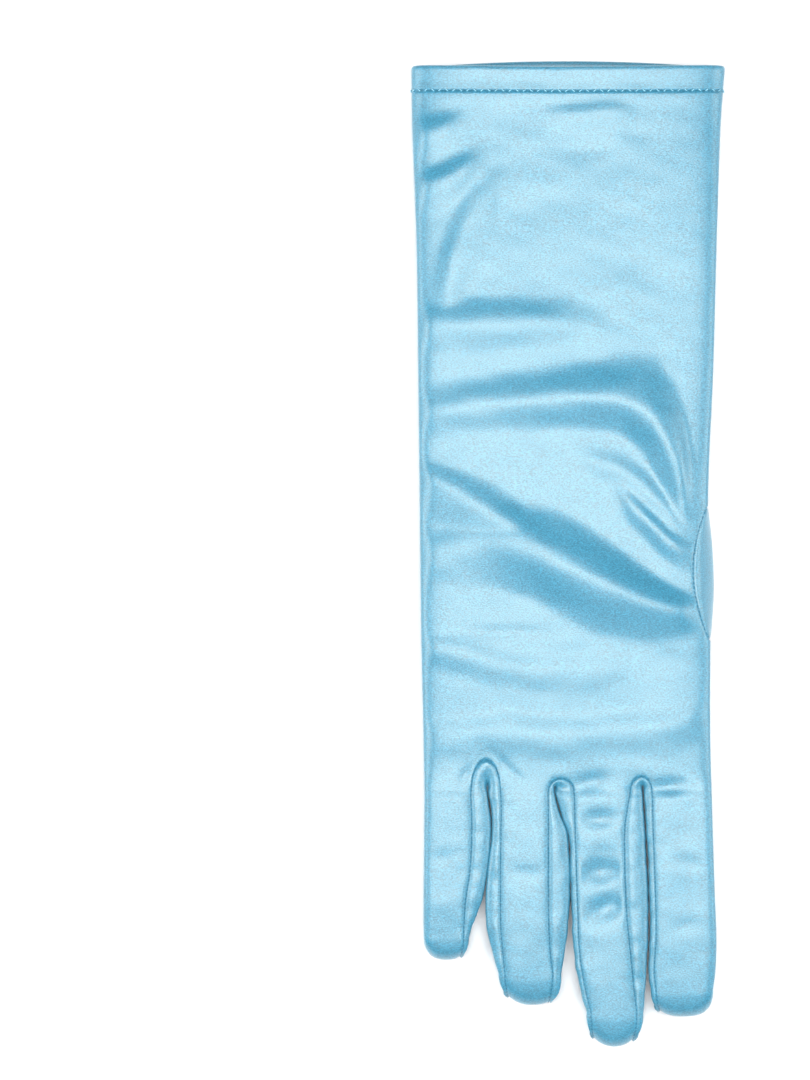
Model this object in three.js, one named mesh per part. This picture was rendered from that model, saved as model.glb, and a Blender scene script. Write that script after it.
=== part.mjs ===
// A long satin dress glove for the right hand, lying palm down, cuff towards +Y, with its thumb folded
// under the palm. The main panel wraps the sleeve, the hand and the fronts and backs of the four fingers.
// Three forked strips, the fourchettes, close the sides of the fingers. The thumb is set into a hole in
// the side of the hand, and the cuff is turned in to a double hem. Millimetres, +Z up, origin at the
// middle of the glove's box, on the surface that it lies on.
import * as THREE from "three";

// Sizes of the cut and sewn glove, as it lies
const GLOVE_LENGTH = 314; // the cuff's lower rim to the middle fingertip
const CUFF_WIDTH = 100;
const PALM_WIDTH = 91.4; // across the roots of the four fingers
const MIDDLE_LENGTH = 81.6; // from the crotches to the fingertips
const INDEX_LENGTH = 72;
const RING_LENGTH = 68.3;
const LITTLE_LENGTH = 53.9;
const THUMB_LENGTH = 58; // from the side of the hand to the thumb's tip
const THUMB_WIDTH = 27;
const HOLE_START = 141.5; // the cuff's lower rim to the upper end of the thumb hole
const HOLE_LENGTH = 43; // the thumb hole, along the side of the hand
const HOLE_DEPTH = 5; // how far the visible thumb seam curves in from the side
const TUCK_DEPTH = 9.5; // how far the hidden thumb seam curves in, under the palm
const THUMB_BULGE = 2; // how far the thumb's root stands out past the side of the hand
const HEM_DEPTH = 7.5;

// Heights and thicknesses
const SLEEVE_HEIGHT = 14;
const MOUTH_HEIGHT = 13.2;
const FINGER_HEIGHT = 13;
const THUMB_HEIGHT = 3.4; // the thumb lies nearly flat under the palm
const CLOTH = 1;
const SEAM_GAP = 0.3;
const FINGER_GAP = 0.8; // between two fingers that lie side by side
const THUMB_CLEARANCE = 0.4; // between the thumb and the palm that drapes over it
const DRAPE_PLATEAU = 5; // how far beside the thumb the palm stays lifted
const DRAPE_RUN = 9; // the slope from there down to the surface
const UNDER_REACH = 2.2; // how far the lower rim shows past the upper one, at the middle
const RIM_SAG = 0.8; // how far the upper rim sags, at the middle
const EDGE_ROUND = 4; // how far in from a side the underside meets the surface
const CROTCH_BLEND = 30; // the stretch in which the hand's section turns into the fingers'
const ROOT_TURN = 0.7; // how far out the thumb's cloth is halfway round the side, as a share of THUMB_BULGE

const HEM_CLOTH = 2 * CLOTH;
const EDGE_SHARE = 0.3; // the height of a side's outermost line, as a share of the height beside it
const SEAM_SHARE = 0.86; // the height of a finger seam, as a share of the height beside it
const PROFILE_POWER = 4; // 2 makes a round section, more makes it flatter
const TIP_NARROWING = 0.1; // how far the rounded tip draws in from the seams, as a share of the finger
const TIP_SHOULDER = 0.45; // how far along the rounded tip the seams end
const PINCH = 0.35; // the share of the cloth's thickness that is left in the tightest corners
const TIP_PULL = 3; // how much further than a seam's edge a sharp end of a strip is drawn back
const HOLE_FULLNESS = 0.8; // 1 makes the thumb hole's edge a sine wave, less makes it fuller at its ends
const THUMB_ROUND = 3; // 2 makes the thumb's section an ellipse, more makes it fuller
const FOLD_FADE = 0.15; // where a fold fades out at its ends, as a share of the half width
const FOLD_OVERRUN = 0.02; // how far past its ends a fold still shows, as a share of the half width
const SIDE_FADE = 0.12; // where the folds fade out beside the glove's sides, as a share of the half width
const RIM_Y = GLOVE_LENGTH / 2;
const CROTCH_Y = MIDDLE_LENGTH - GLOVE_LENGTH / 2;
const SLEEVE_LENGTH = RIM_Y - CROTCH_Y;
const HOLE_END = HOLE_START + HOLE_LENGTH;
const RIM_RUN = 4 * HEM_DEPTH; // where the rim's sag has faded out

// The sleeve and hand, a row for each section. along is a share of SLEEVE_LENGTH from the rim, taper runs
// from CUFF_WIDTH to PALM_WIDTH, shift is a share of CUFF_WIDTH, and puff is a share of SLEEVE_HEIGHT.
const SLEEVE = [
  { along: 0.0, taper: 0.0, shift: 0.0, puff: MOUTH_HEIGHT / SLEEVE_HEIGHT },
  { along: 0.09, taper: 0.19, shift: -0.006, puff: 0.93 },
  { along: 0.25, taper: 0.51, shift: -0.006, puff: 1.0 },
  { along: 0.42, taper: 0.7, shift: -0.009, puff: 1.0 },
  { along: 0.6, taper: 0.95, shift: -0.015, puff: 1.0 },
  { along: 0.79, taper: 0.93, shift: -0.009, puff: 0.98 },
  { along: 0.9, taper: 1.0, shift: -0.006, puff: 0.9 },
  { along: 1.0, taper: 1.0, shift: -0.002, puff: FINGER_HEIGHT / SLEEVE_HEIGHT },
];

// The folds over the back of the glove, a row for each. A crest runs through three points: across is a
// share of the half width, down a share of SLEEVE_LENGTH from the rim. rise is a share of SLEEVE_HEIGHT.
// above and below are the widths of the flanks towards the cuff and towards the fingers, as shares of
// SLEEVE_LENGTH.
const FOLDS = [
  { across: [-0.92, -0.7, -0.42], down: [0.32, 0.245, 0.185], rise: 0.1, above: 0.03, below: 0.045 },
  { across: [-0.95, -0.34, 0.3], down: [0.366, 0.362, 0.366], rise: 0.17, above: 0.036, below: 0.05 },
  { across: [-0.95, -0.2, 0.45], down: [0.482, 0.463, 0.468], rise: 0.18, above: 0.045, below: 0.06 },
  { across: [0.25, 0.62, 0.9], down: [0.462, 0.505, 0.6], rise: 0.18, above: 0.05, below: 0.06 },
  { across: [0.3, 0.58, 0.9], down: [0.58, 0.635, 0.69], rise: 0.1, above: 0.03, below: 0.035 },
  { across: [-0.95, -0.03, 0.92], down: [0.672, 0.69, 0.755], rise: 0.23, above: 0.075, below: 0.07 },
  { across: [-0.95, 0.0, 0.92], down: [0.92, 0.919, 0.898], rise: 0.1, above: 0.03, below: 0.035 },
];

// The fingers, a row for each section. at runs from the crotches (0) to where the rounded tip begins (1).
// The edges and seams are shares of PALM_WIDTH from the middle of the glove, and puff is a share of
// FINGER_HEIGHT. A folded side has no seam, so its seam column repeats the edge. tip is the length of the
// rounded tip, a share of PALM_WIDTH.
const FINGERS = [
  {
    name: "little", length: LITTLE_LENGTH, tip: 0.045, foldedLeft: true, foldedRight: false,
    rows: [
      { at: 0.0, edgeL: -0.502, seamL: -0.502, seamR: -0.341, edgeR: -0.283, puff: 1.0 },
      { at: 0.25, edgeL: -0.503, seamL: -0.503, seamR: -0.338, edgeR: -0.269, puff: 0.97 },
      { at: 0.5, edgeL: -0.504, seamL: -0.504, seamR: -0.343, edgeR: -0.28, puff: 0.95 },
      { at: 0.7, edgeL: -0.505, seamL: -0.505, seamR: -0.359, edgeR: -0.3, puff: 0.93 },
      { at: 0.85, edgeL: -0.505, seamL: -0.505, seamR: -0.366, edgeR: -0.334, puff: 0.89 },
      { at: 0.95, edgeL: -0.501, seamL: -0.501, seamR: -0.368, edgeR: -0.347, puff: 0.78 },
      { at: 1.0, edgeL: -0.497, seamL: -0.497, seamR: -0.369, edgeR: -0.354, puff: 0.64 },
    ],
  },
  {
    name: "ring", length: RING_LENGTH, tip: 0.049, foldedLeft: false, foldedRight: false,
    rows: [
      { at: 0.0, edgeL: -0.281, seamL: -0.236, seamR: -0.072, edgeR: -0.051, puff: 1.0 },
      { at: 0.12, edgeL: -0.268, seamL: -0.235, seamR: -0.072, edgeR: -0.03, puff: 0.99 },
      { at: 0.22, edgeL: -0.268, seamL: -0.236, seamR: -0.072, edgeR: -0.004, puff: 0.97 },
      { at: 0.5, edgeL: -0.288, seamL: -0.237, seamR: -0.072, edgeR: 0.006, puff: 0.96 },
      { at: 0.7, edgeL: -0.286, seamL: -0.236, seamR: -0.07, edgeR: -0.002, puff: 0.94 },
      { at: 0.85, edgeL: -0.261, seamL: -0.226, seamR: -0.066, edgeR: -0.018, puff: 0.9 },
      { at: 0.95, edgeL: -0.243, seamL: -0.218, seamR: -0.061, edgeR: -0.026, puff: 0.78 },
      { at: 1.0, edgeL: -0.222, seamL: -0.206, seamR: -0.054, edgeR: -0.032, puff: 0.64 },
    ],
  },
  {
    name: "middle", length: MIDDLE_LENGTH, tip: 0.047, foldedLeft: false, foldedRight: false,
    rows: [
      { at: 0.0, edgeL: -0.049, seamL: 0.019, seamR: 0.212, edgeR: 0.257, puff: 1.0 },
      { at: 0.12, edgeL: -0.022, seamL: 0.021, seamR: 0.197, edgeR: 0.263, puff: 0.99 },
      { at: 0.2, edgeL: 0.0, seamL: 0.022, seamR: 0.192, edgeR: 0.267, puff: 0.97 },
      { at: 0.5, edgeL: 0.009, seamL: 0.03, seamR: 0.198, edgeR: 0.277, puff: 0.96 },
      { at: 0.7, edgeL: 0.018, seamL: 0.038, seamR: 0.214, edgeR: 0.273, puff: 0.94 },
      { at: 0.85, edgeL: 0.04, seamL: 0.058, seamR: 0.224, edgeR: 0.266, puff: 0.9 },
      { at: 0.95, edgeL: 0.061, seamL: 0.078, seamR: 0.233, edgeR: 0.262, puff: 0.78 },
      { at: 1.0, edgeL: 0.077, seamL: 0.092, seamR: 0.232, edgeR: 0.245, puff: 0.64 },
    ],
  },
  {
    name: "index", length: INDEX_LENGTH, tip: 0.054, foldedLeft: false, foldedRight: true,
    rows: [
      { at: 0.0, edgeL: 0.259, seamL: 0.289, seamR: 0.498, edgeR: 0.498, puff: 1.0 },
      { at: 0.2, edgeL: 0.269, seamL: 0.292, seamR: 0.502, edgeR: 0.502, puff: 0.97 },
      { at: 0.5, edgeL: 0.28, seamL: 0.3, seamR: 0.509, edgeR: 0.509, puff: 0.96 },
      { at: 0.7, edgeL: 0.282, seamL: 0.302, seamR: 0.515, edgeR: 0.515, puff: 0.94 },
      { at: 0.85, edgeL: 0.276, seamL: 0.296, seamR: 0.512, edgeR: 0.512, puff: 0.9 },
      { at: 0.95, edgeL: 0.287, seamL: 0.305, seamR: 0.499, edgeR: 0.499, puff: 0.78 },
      { at: 1.0, edgeL: 0.303, seamL: 0.317, seamR: 0.488, edgeR: 0.488, puff: 0.64 },
    ],
  },
];

// The seams over the crotches. rise is how far the seam arches up over its crotch on the back of the
// hand, and under the same on the palm side, as shares of PALM_WIDTH.
const CROTCHES = [
  { name: "little_ring", rise: 0.115, under: 0.06 },
  { name: "ring_middle", rise: 0.046, under: 0.045 },
  { name: "middle_index", rise: 0.053, under: 0.045 },
];

// The thumb, a row for each section from the hand to the tip. at is a share of THUMB_LENGTH, flare runs
// from THUMB_WIDTH to HOLE_LENGTH, full is a share of that width, turn is the angle towards the fingers
// in degrees, and bow is how far the section's middle runs ahead of its sides, as a share of
// THUMB_LENGTH.
const THUMB = [
  { at: 0.1, flare: 0.7, full: 1.0, turn: 5, bow: 0.16 },
  { at: 0.26, flare: 0.42, full: 1.0, turn: 16, bow: 0.1 },
  { at: 0.44, flare: 0.2, full: 1.0, turn: 32, bow: 0.05 },
  { at: 0.62, flare: 0.02, full: 1.0, turn: 42, bow: 0.03 },
  { at: 0.79, flare: 0.0, full: 0.97, turn: 46, bow: 0.03 },
  { at: 0.88, flare: 0.0, full: 0.88, turn: 46, bow: 0.03 },
  { at: 0.94, flare: 0.0, full: 0.68, turn: 46, bow: 0.06 },
];

// How the cloth is divided: a row for each stretch of the sleeve, the columns across a panel, the steps
// round a seam's arch, and the lines down the side of a finger
const STRETCHES = [
  { to: HEM_DEPTH, rows: 1 },
  { to: HOLE_START, rows: 20 },
  { to: HOLE_END, rows: 7 },
  { to: SLEEVE_LENGTH, rows: 8 },
];
const ARCH_STEPS = 4;
const PATH_STEPS = 24; // in which the thumb's middle line is followed
const COVER_SAMPLES = 12; // places along the thumb at which the palm's cover is measured
const FINGER_STEPS = [0, 0.1, 0.2, 0.32, 0.45, 0.58, 0.7, 0.81, 0.9, 0.96, 1];
const PANEL_COLUMNS = [0, 0.3, 0.7, 1];
const FOLDED_COLUMNS = [0, 0.09, 0.3, 0.65, 1]; // from the folded side
const UNDER_COLUMNS = [0, 0.3, 1]; // from the folded side, in widths of EDGE_ROUND
// From a finger's upper seam over its outermost line to its lower seam: how far out or in, and how far
// down.
const SIDE = [
  { way: 0.65, drop: 0.22, lower: false },
  { way: 1.0, drop: 1.0, lower: false },
  { way: 0.3, drop: 0.7, lower: true },
];

const mix = THREE.MathUtils.lerp;
const clamp = THREE.MathUtils.clamp;
const smooth = THREE.MathUtils.smoothstep;

// A smooth curve through one column of a table, read at a place along it.
function read(rows, place, key, at) {
  const last = rows.length - 1;
  if (at <= rows[0][place]) return rows[0][key];
  if (at >= rows[last][place]) return rows[last][key];
  const i = rows.findIndex((row) => row[place] > at) - 1;
  const slope = (k) => {
    const a = rows[Math.max(k - 1, 0)];
    const b = rows[Math.min(k + 1, last)];
    return (b[key] - a[key]) / (b[place] - a[place]);
  };
  const span = rows[i + 1][place] - rows[i][place];
  const t = (at - rows[i][place]) / span;
  const s = t * t * (3 - 2 * t);
  const bend = t * (1 - t) * span * ((1 - t) * slope(i) - t * slope(i + 1));
  return mix(rows[i][key], rows[i + 1][key], s) + bend;
}

// The height over a section's width, 1 at its middle and 0 at its sides
function crown(share) {
  const fall = Math.pow(Math.abs(share), PROFILE_POWER);
  return Math.pow(Math.max(0, 1 - fall), 1 / PROFILE_POWER);
}

// The sleeve and hand at a distance from the rim
function sectionAt(along) {
  const share = along / SLEEVE_LENGTH;
  const width = mix(CUFF_WIDTH, PALM_WIDTH, read(SLEEVE, "along", "taper", share));
  const height = SLEEVE_HEIGHT * read(SLEEVE, "along", "puff", share);
  const middle = CUFF_WIDTH * read(SLEEVE, "along", "shift", share);
  return { half: width / 2, middle, height, edge: height * EDGE_SHARE };
}

// The height that the folds add
function foldsAt(across, along) {
  let rise = 0;
  for (const fold of FOLDS) {
    const [a, b, c] = fold.across;
    const [da, db, dc] = fold.down;
    const x = clamp(across, a, c);
    const crest =
      (da * (x - b) * (x - c)) / ((a - b) * (a - c)) +
      (db * (x - a) * (x - c)) / ((b - a) * (b - c)) +
      (dc * (x - a) * (x - b)) / ((c - a) * (c - b));
    const off = along / SLEEVE_LENGTH - crest;
    const flank = Math.abs(off) / (off < 0 ? fold.above : fold.below);
    const starts = smooth(across, a - FOLD_OVERRUN, a + FOLD_FADE);
    const fade = starts * (1 - smooth(across, c - FOLD_FADE, c + FOLD_OVERRUN));
    if (flank < 1) rise = Math.max(rise, fold.rise * fade * (0.5 + 0.5 * Math.cos(Math.PI * flank)));
  }
  return rise * SLEEVE_HEIGHT;
}

// The thumb's middle line under the palm: it leaves the side of the hand and turns towards the fingers.
const holeMiddle = (HOLE_START + HOLE_END) / 2;
const holeSection = sectionAt(holeMiddle);
const thumbRoot = new THREE.Vector3(holeSection.middle + holeSection.half, RIM_Y - holeMiddle, 0);
function thumbWay(at) {
  const turn = THREE.MathUtils.degToRad(read(THUMB, "at", "turn", at));
  return new THREE.Vector3(-Math.cos(turn), -Math.sin(turn), 0);
}
function thumbAt(at) {
  const place = thumbRoot.clone();
  for (let k = 0; k < PATH_STEPS; k++) {
    place.addScaledVector(thumbWay((at * (k + 0.5)) / PATH_STEPS), (THUMB_LENGTH * at) / PATH_STEPS);
  }
  const wide = mix(THUMB_WIDTH, HOLE_LENGTH, read(THUMB, "at", "flare", at));
  const way = thumbWay(at);
  const side = new THREE.Vector3(-way.y, way.x, 0);
  return { place, way, side, half: (wide * read(THUMB, "at", "full", at)) / 2 };
}
const thumbPath = Array.from({ length: COVER_SAMPLES + 1 }, (_, k) => thumbAt(k / COVER_SAMPLES));

// The height of the underside: on the surface, rounded up to the sides, and lifted over the thumb
function underAt(x, y, inFromSide, edge) {
  const beside = Math.min(...thumbPath.map((t) => Math.hypot(x - t.place.x, y - t.place.y) - t.half));
  const lift = 1 - smooth(beside, DRAPE_PLATEAU, DRAPE_PLATEAU + DRAPE_RUN);
  const cover = (THUMB_HEIGHT + THUMB_CLEARANCE) * lift;
  const round = clamp(1 - inFromSide / EDGE_ROUND, 0, 1);
  return Math.max(cover, edge * (1 - Math.sqrt(1 - round * round)));
}

// A finger's section
function fingerAt(finger, at) {
  const get = (key) => read(finger.rows, "at", key, at);
  const gapL = finger.foldedLeft ? 0 : FINGER_GAP / 2;
  const gapR = finger.foldedRight ? 0 : FINGER_GAP / 2;
  const height = FINGER_HEIGHT * get("puff");
  const straight = finger.length - finger.tip * PALM_WIDTH;
  const edgeL = get("edgeL") * PALM_WIDTH + gapL;
  const edgeR = get("edgeR") * PALM_WIDTH - gapR;
  return {
    y: CROTCH_Y - at * straight,
    height,
    edge: height * EDGE_SHARE,
    edgeL,
    edgeR,
    topL: get("seamL") * PALM_WIDTH + gapL,
    topR: get("seamR") * PALM_WIDTH - gapR,
    underL: finger.foldedLeft ? edgeL : edgeL + EDGE_ROUND,
    underR: finger.foldedRight ? edgeR : edgeR - EDGE_ROUND,
  };
}

// The height over a finger's upper panel, as a share of the finger's height. share runs from its left to
// its right.
function panelCrown(finger, share) {
  const folded = share < 0.5 ? finger.foldedLeft : finger.foldedRight;
  const fromMiddle = Math.abs(2 * share - 1);
  if (folded) return mix(EDGE_SHARE, 1, crown(fromMiddle));
  return mix(1, SEAM_SHARE, fromMiddle * fromMiddle);
}

const topColumns = (finger) => {
  if (finger.foldedLeft) return FOLDED_COLUMNS;
  if (finger.foldedRight) return FOLDED_COLUMNS.map((c) => 1 - c).reverse();
  return PANEL_COLUMNS;
};
const underPlaces = (finger, row) => {
  const near = UNDER_COLUMNS.map((c) => c * EDGE_ROUND);
  const wide = row.underR - row.underL;
  const reach = Math.min(1, (0.5 * wide) / EDGE_ROUND);
  if (finger.foldedLeft) {
    const left = near.map((c) => row.underL + c * reach);
    return [...left, mix(left[2], row.underR, 0.5), row.underR];
  }
  if (finger.foldedRight) {
    const right = near.map((c) => row.underR - c * reach).reverse();
    return [row.underL, mix(row.underL, right[0], 0.5), ...right];
  }
  return PANEL_COLUMNS.map((c) => mix(row.underL, row.underR, c));
};

// One skin for the whole glove: points that the pieces share at their seams, and faces that each belong
// to a piece
const points = [];
const faces = [];
const facing = new Map(); // points where the cloth doubles back, with the way that the crease faces
const creased = new Set(); // points on a folded side or tip
const pinched = new Set(); // points where the cloth is pressed thin, in the tightest corners
const point = (x, y, z) => points.push(new THREE.Vector3(x, y, z)) - 1;

function weave(piece, rows, flip) {
  for (let i = 0; i + 1 < rows.length; i++) {
    for (let j = 0; j + 1 < rows[i].length; j++) {
      const ids = [rows[i][j], rows[i + 1][j], rows[i + 1][j + 1], rows[i][j + 1]];
      if (flip) ids.reverse();
      const corners = ids.filter((id, k) => id !== ids[(k + 1) % 4]);
      if (new Set(corners).size < 3) continue;
      // A face of four corners is split from its first corner to its third: along the shorter diagonal,
      // or from the one corner that isn't on a crease, so that the cloth on both sides of a crease
      // doesn't touch.
      const [a, b, c, d] = corners.map((id) => points[id]);
      const free = corners.filter((id) => !creased.has(id));
      const shorter = d && a.distanceTo(c) > b.distanceTo(d) ? 1 : 0;
      const first = d && free.length === 1 ? corners.indexOf(free[0]) : shorter;
      faces.push({ piece, ids: [...corners.slice(first), ...corners.slice(0, first)] });
    }
  }
}

// The columns of the sleeve, set out at the crotches: the fingers' panels with the seams' arches between
// them
const roots = FINGERS.map((finger) => fingerAt(finger, 0));
const topSet = [];
const underSet = [];
FINGERS.forEach((finger, f) => {
  const row = roots[f];
  for (const share of topColumns(finger)) {
    topSet.push({ x: mix(row.topL, row.topR, share), arch: 0, level: panelCrown(finger, share), finger: f });
  }
  for (const x of underPlaces(finger, row)) underSet.push({ x, arch: 0, finger: f });
  if (f === FINGERS.length - 1) return;
  const next = roots[f + 1];
  for (let k = 1; k < ARCH_STEPS; k++) {
    const angle = (Math.PI * k) / ARCH_STEPS;
    const share = (1 - Math.cos(angle)) / 2;
    const rise = Math.sin(angle) * PALM_WIDTH;
    const topX = mix(row.topR, next.topL, share);
    topSet.push({ x: topX, arch: CROTCHES[f].rise * rise, level: SEAM_SHARE, crotch: f });
    underSet.push({ x: mix(row.underR, next.underL, share), arch: CROTCHES[f].under * rise, crotch: f });
  }
});
const rootSection = sectionAt(SLEEVE_LENGTH);
for (const column of [...topSet, ...underSet]) {
  column.across = clamp((column.x - rootSection.middle) / rootSection.half, -1, 1);
}
const lastFinger = FINGERS.length - 1;

// The distances of the sleeve's rows from the rim
const rowPlaces = [0];
for (const { to, rows } of STRETCHES) {
  const from = rowPlaces[rowPlaces.length - 1];
  for (let k = 1; k <= rows; k++) rowPlaces.push(mix(from, to, k / rows));
}
const hemRow = STRETCHES[0].rows;
const holeRow = hemRow + STRETCHES[1].rows;
const holeLastRow = holeRow + STRETCHES[2].rows;
const holeArc = (i) => {
  const share = clamp((i - holeRow) / (holeLastRow - holeRow), 0, 1);
  return Math.pow(Math.sin(Math.PI * share), HOLE_FULLNESS);
};
const inHole = (i) => i > holeRow && i < holeLastRow;

// The sleeve and the hand, row by row, the upper cloth and the lower cloth sharing the points of the
// folded sides
const topRows = [];
const underRows = [];
rowPlaces.forEach((along, i) => {
  const section = sectionAt(along);
  const rim = Math.max(0, 1 - along / RIM_RUN);
  const arching = Math.pow(clamp((along - HOLE_END) / (SLEEVE_LENGTH - HOLE_END), 0, 1), 2);
  const panelFrom = (set) => set.findIndex((column) => column.finger === lastFinger);
  // The last finger's columns crowd towards the thumb hole's edge.
  const acrossOf = (set, j, depth) => {
    const first = set[panelFrom(set)].across;
    const across = set[j].across;
    const shrink = 1 - (depth * holeArc(i)) / section.half / (1 - first);
    return j >= panelFrom(set) && inHole(i) ? first + (across - first) * shrink : across;
  };

  const top = topSet.map((column, j) => {
    const across = acrossOf(topSet, j, HOLE_DEPTH);
    const x = section.middle + across * section.half;
    const sag = UNDER_REACH + RIM_SAG * (1 - across * across);
    const y = RIM_Y - along - sag * rim + column.arch * arching;
    const near = smooth(RIM_Y - y, SLEEVE_LENGTH - CROTCH_BLEND, SLEEVE_LENGTH);
    const level = mix(mix(EDGE_SHARE, 1, crown(across)), column.level, near);
    const inside = smooth(1 - Math.abs(across), 0, SIDE_FADE) * (1 - near) * (1 - rim);
    return point(x, y, section.height * level + foldsAt(across, along) * inside);
  });

  const under = underSet.map((column, j) => {
    const side = j === 0 || j === underSet.length - 1;
    if (side && !inHole(i)) return top[j === 0 ? 0 : top.length - 1];
    if (j === 0) return top[0];
    const across = acrossOf(underSet, j, TUCK_DEPTH);
    const x = section.middle + across * section.half;
    const y = RIM_Y - along - UNDER_REACH * across * across * rim + column.arch * arching;
    const id = point(x, y, underAt(x, y, section.half * (1 - Math.abs(across)), section.edge));
    if (side) facing.set(id, new THREE.Vector3(-1, 0, 0));
    return id;
  });
  topRows.push(top);
  underRows.push(under);
});
weave("cuff_hem", topRows.slice(0, hemRow + 1), false);
weave("cuff_hem", underRows.slice(0, hemRow + 1), true);
weave("hand_panel", topRows.slice(hemRow), false);
weave("hand_panel", underRows.slice(hemRow), true);

// The fingers' upper and lower panels, down to the tips that they share
const lastTop = topRows[topRows.length - 1];
const lastUnder = underRows[underRows.length - 1];
const fingerGrids = FINGERS.map((finger, f) => {
  const pick = (set, row) => row.filter((_, j) => set[j].finger === f);
  const top = [pick(topSet, lastTop)];
  const under = [pick(underSet, lastUnder)];
  const sections = [roots[f]];
  for (const at of FINGER_STEPS.slice(1)) {
    const row = fingerAt(finger, at);
    const topRow = topColumns(finger).map((share) =>
      point(mix(row.topL, row.topR, share), row.y, row.height * panelCrown(finger, share)),
    );
    const places = underPlaces(finger, row);
    const underRow = places.map((x, j) => {
      if (finger.foldedLeft && j === 0) return topRow[0];
      if (finger.foldedRight && j === places.length - 1) return topRow[topRow.length - 1];
      const left = finger.foldedLeft ? x - row.edgeL : EDGE_ROUND;
      const right = finger.foldedRight ? row.edgeR - x : EDGE_ROUND;
      return point(x, row.y, underAt(x, row.y, Math.min(left, right), row.edge));
    });
    sections.push(row);
    top.push(topRow);
    under.push(underRow);
  }
  const row = sections[sections.length - 1];
  const cap = finger.tip * PALM_WIDTH;
  const tip = topColumns(finger).map((share) => {
    const o = 2 * share - 1;
    const x = mix(mix(row.topL, row.topR, share), (row.topL + row.topR) / 2, TIP_NARROWING);
    return point(x, row.y - cap * mix(TIP_SHOULDER, 1, Math.cbrt(1 - Math.abs(o) ** 3)), row.edge);
  });
  top.push(tip);
  under.push(tip);
  for (const id of tip) creased.add(id);
  for (const row of top) {
    if (finger.foldedLeft) creased.add(row[0]);
    if (finger.foldedRight) creased.add(row[row.length - 1]);
  }
  for (const id of [tip[0], tip[tip.length - 1]]) pinched.add(id);
  weave("hand_panel", top, false);
  weave("hand_panel", under, true);
  return { top, under, sections };
});

// The fourchettes: from one finger's tip up its side, round the crotch and down the next finger's side
function sideRow(upper, ridge, lower) {
  const seam = points[upper];
  const under = points[lower];
  const between = SIDE.map(({ way, drop, lower: low }) => {
    const from = low ? ridge : seam;
    const to = low ? under : ridge;
    return point(mix(from.x, to.x, way), mix(from.y, to.y, way), mix(from.z, to.z, drop));
  });
  return [upper, ...between, lower];
}
CROTCHES.forEach((crotch, f) => {
  const left = fingerGrids[f];
  const right = fingerGrids[f + 1];
  const end = (row) => row[row.length - 1];
  const leftRows = left.sections.map((row, i) =>
    sideRow(end(left.top[i]), new THREE.Vector3(row.edgeR, row.y, row.edge), end(left.under[i])),
  );
  const rightRows = right.sections.map((row, i) =>
    sideRow(right.top[i][0], new THREE.Vector3(row.edgeL, row.y, row.edge), right.under[i][0]),
  );
  const leftTip = end(end(left.top));
  const rightTip = end(right.top)[0];
  const archRows = [];
  const topArch = topSet.flatMap((column, j) => (column.crotch === f ? [lastTop[j]] : []));
  const underArch = underSet.flatMap((column, j) => (column.crotch === f ? [lastUnder[j]] : []));
  const a = left.sections[0];
  const b = right.sections[0];
  for (let k = 1; k < ARCH_STEPS; k++) {
    const angle = (Math.PI * k) / ARCH_STEPS;
    const x = mix(a.edgeR, b.edgeL, (1 - Math.cos(angle)) / 2);
    const y = CROTCH_Y + (Math.sin(angle) * FINGER_GAP) / 2;
    const ridge = new THREE.Vector3(x, y, mix(a.edge, b.edge, k / ARCH_STEPS));
    archRows.push(sideRow(topArch[k - 1], ridge, underArch[k - 1]));
  }
  const collapsed = (id) => new Array(SIDE.length + 2).fill(id);
  const strip = [collapsed(leftTip), ...leftRows.reverse(), ...archRows, ...rightRows, collapsed(rightTip)];
  weave(`fourchette_${crotch.name}`, strip, true);
});

// The thumb: over the side of the hand from the seam in the back, then under the palm as a flat tube
const holeRows = topRows.slice(holeRow, holeLastRow + 1);
const topSeam = holeRows.map((row) => row[row.length - 1]);
const underSeam = underRows.slice(holeRow, holeLastRow + 1).map((row) => row[row.length - 1]);
const across = topSeam.length - 1;
// A line of the thumb's cloth round the side of the hand: how far out it is, and how high
const roundRow = (out, high) =>
  topSeam.map((id, c) => {
    if (c === 0 || c === across) return id;
    const along = rowPlaces[holeRow + c];
    const section = sectionAt(along);
    const arc = holeArc(holeRow + c);
    const x = section.middle + section.half + out * arc;
    return point(x, RIM_Y - along, high(section.edge, points[id].z, arc));
  });
const lowerWall = [
  topSeam,
  roundRow(THUMB_BULGE * ROOT_TURN, (edge, seam) => (edge + seam) / 2),
  roundRow(THUMB_BULGE, (edge, seam, arc) => edge * (1 - 0.45 * arc)),
  roundRow(-THUMB_BULGE, (edge, seam, arc) => edge * (1 - 0.98 * arc)),
];
const upperWall = [underSeam];
for (const id of [topSeam[0], topSeam[across]]) pinched.add(id);
THUMB.forEach((row, k) => {
  const { place, way, side, half } = thumbAt(row.at);
  const tip = k === THUMB.length - 1;
  const middle = THUMB_HEIGHT / 2;
  const lower = [];
  const upper = [];
  for (let c = 0; c <= across; c++) {
    const o = (2 * c) / across - 1;
    const p = place.clone().addScaledVector(side, o * half);
    p.addScaledVector(way, row.bow * THUMB_LENGTH * (1 - o * o));
    const full = Math.pow(1 - Math.pow(Math.abs(o), THUMB_ROUND), 1 / THUMB_ROUND);
    const folded = tip || c === 0 || c === across;
    lower.push(point(p.x, p.y, folded ? middle : middle * (1 - full)));
    upper.push(folded ? lower[c] : point(p.x, p.y, middle * (1 + full)));
  }
  lowerWall.push(lower);
  upperWall.push(upper);
  if (k === 0 || tip) {
    for (const id of [lower[0], lower[across]]) pinched.add(id);
  }
});
weave("thumb", lowerWall, true);
weave("thumb", upperWall, false);

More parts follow.
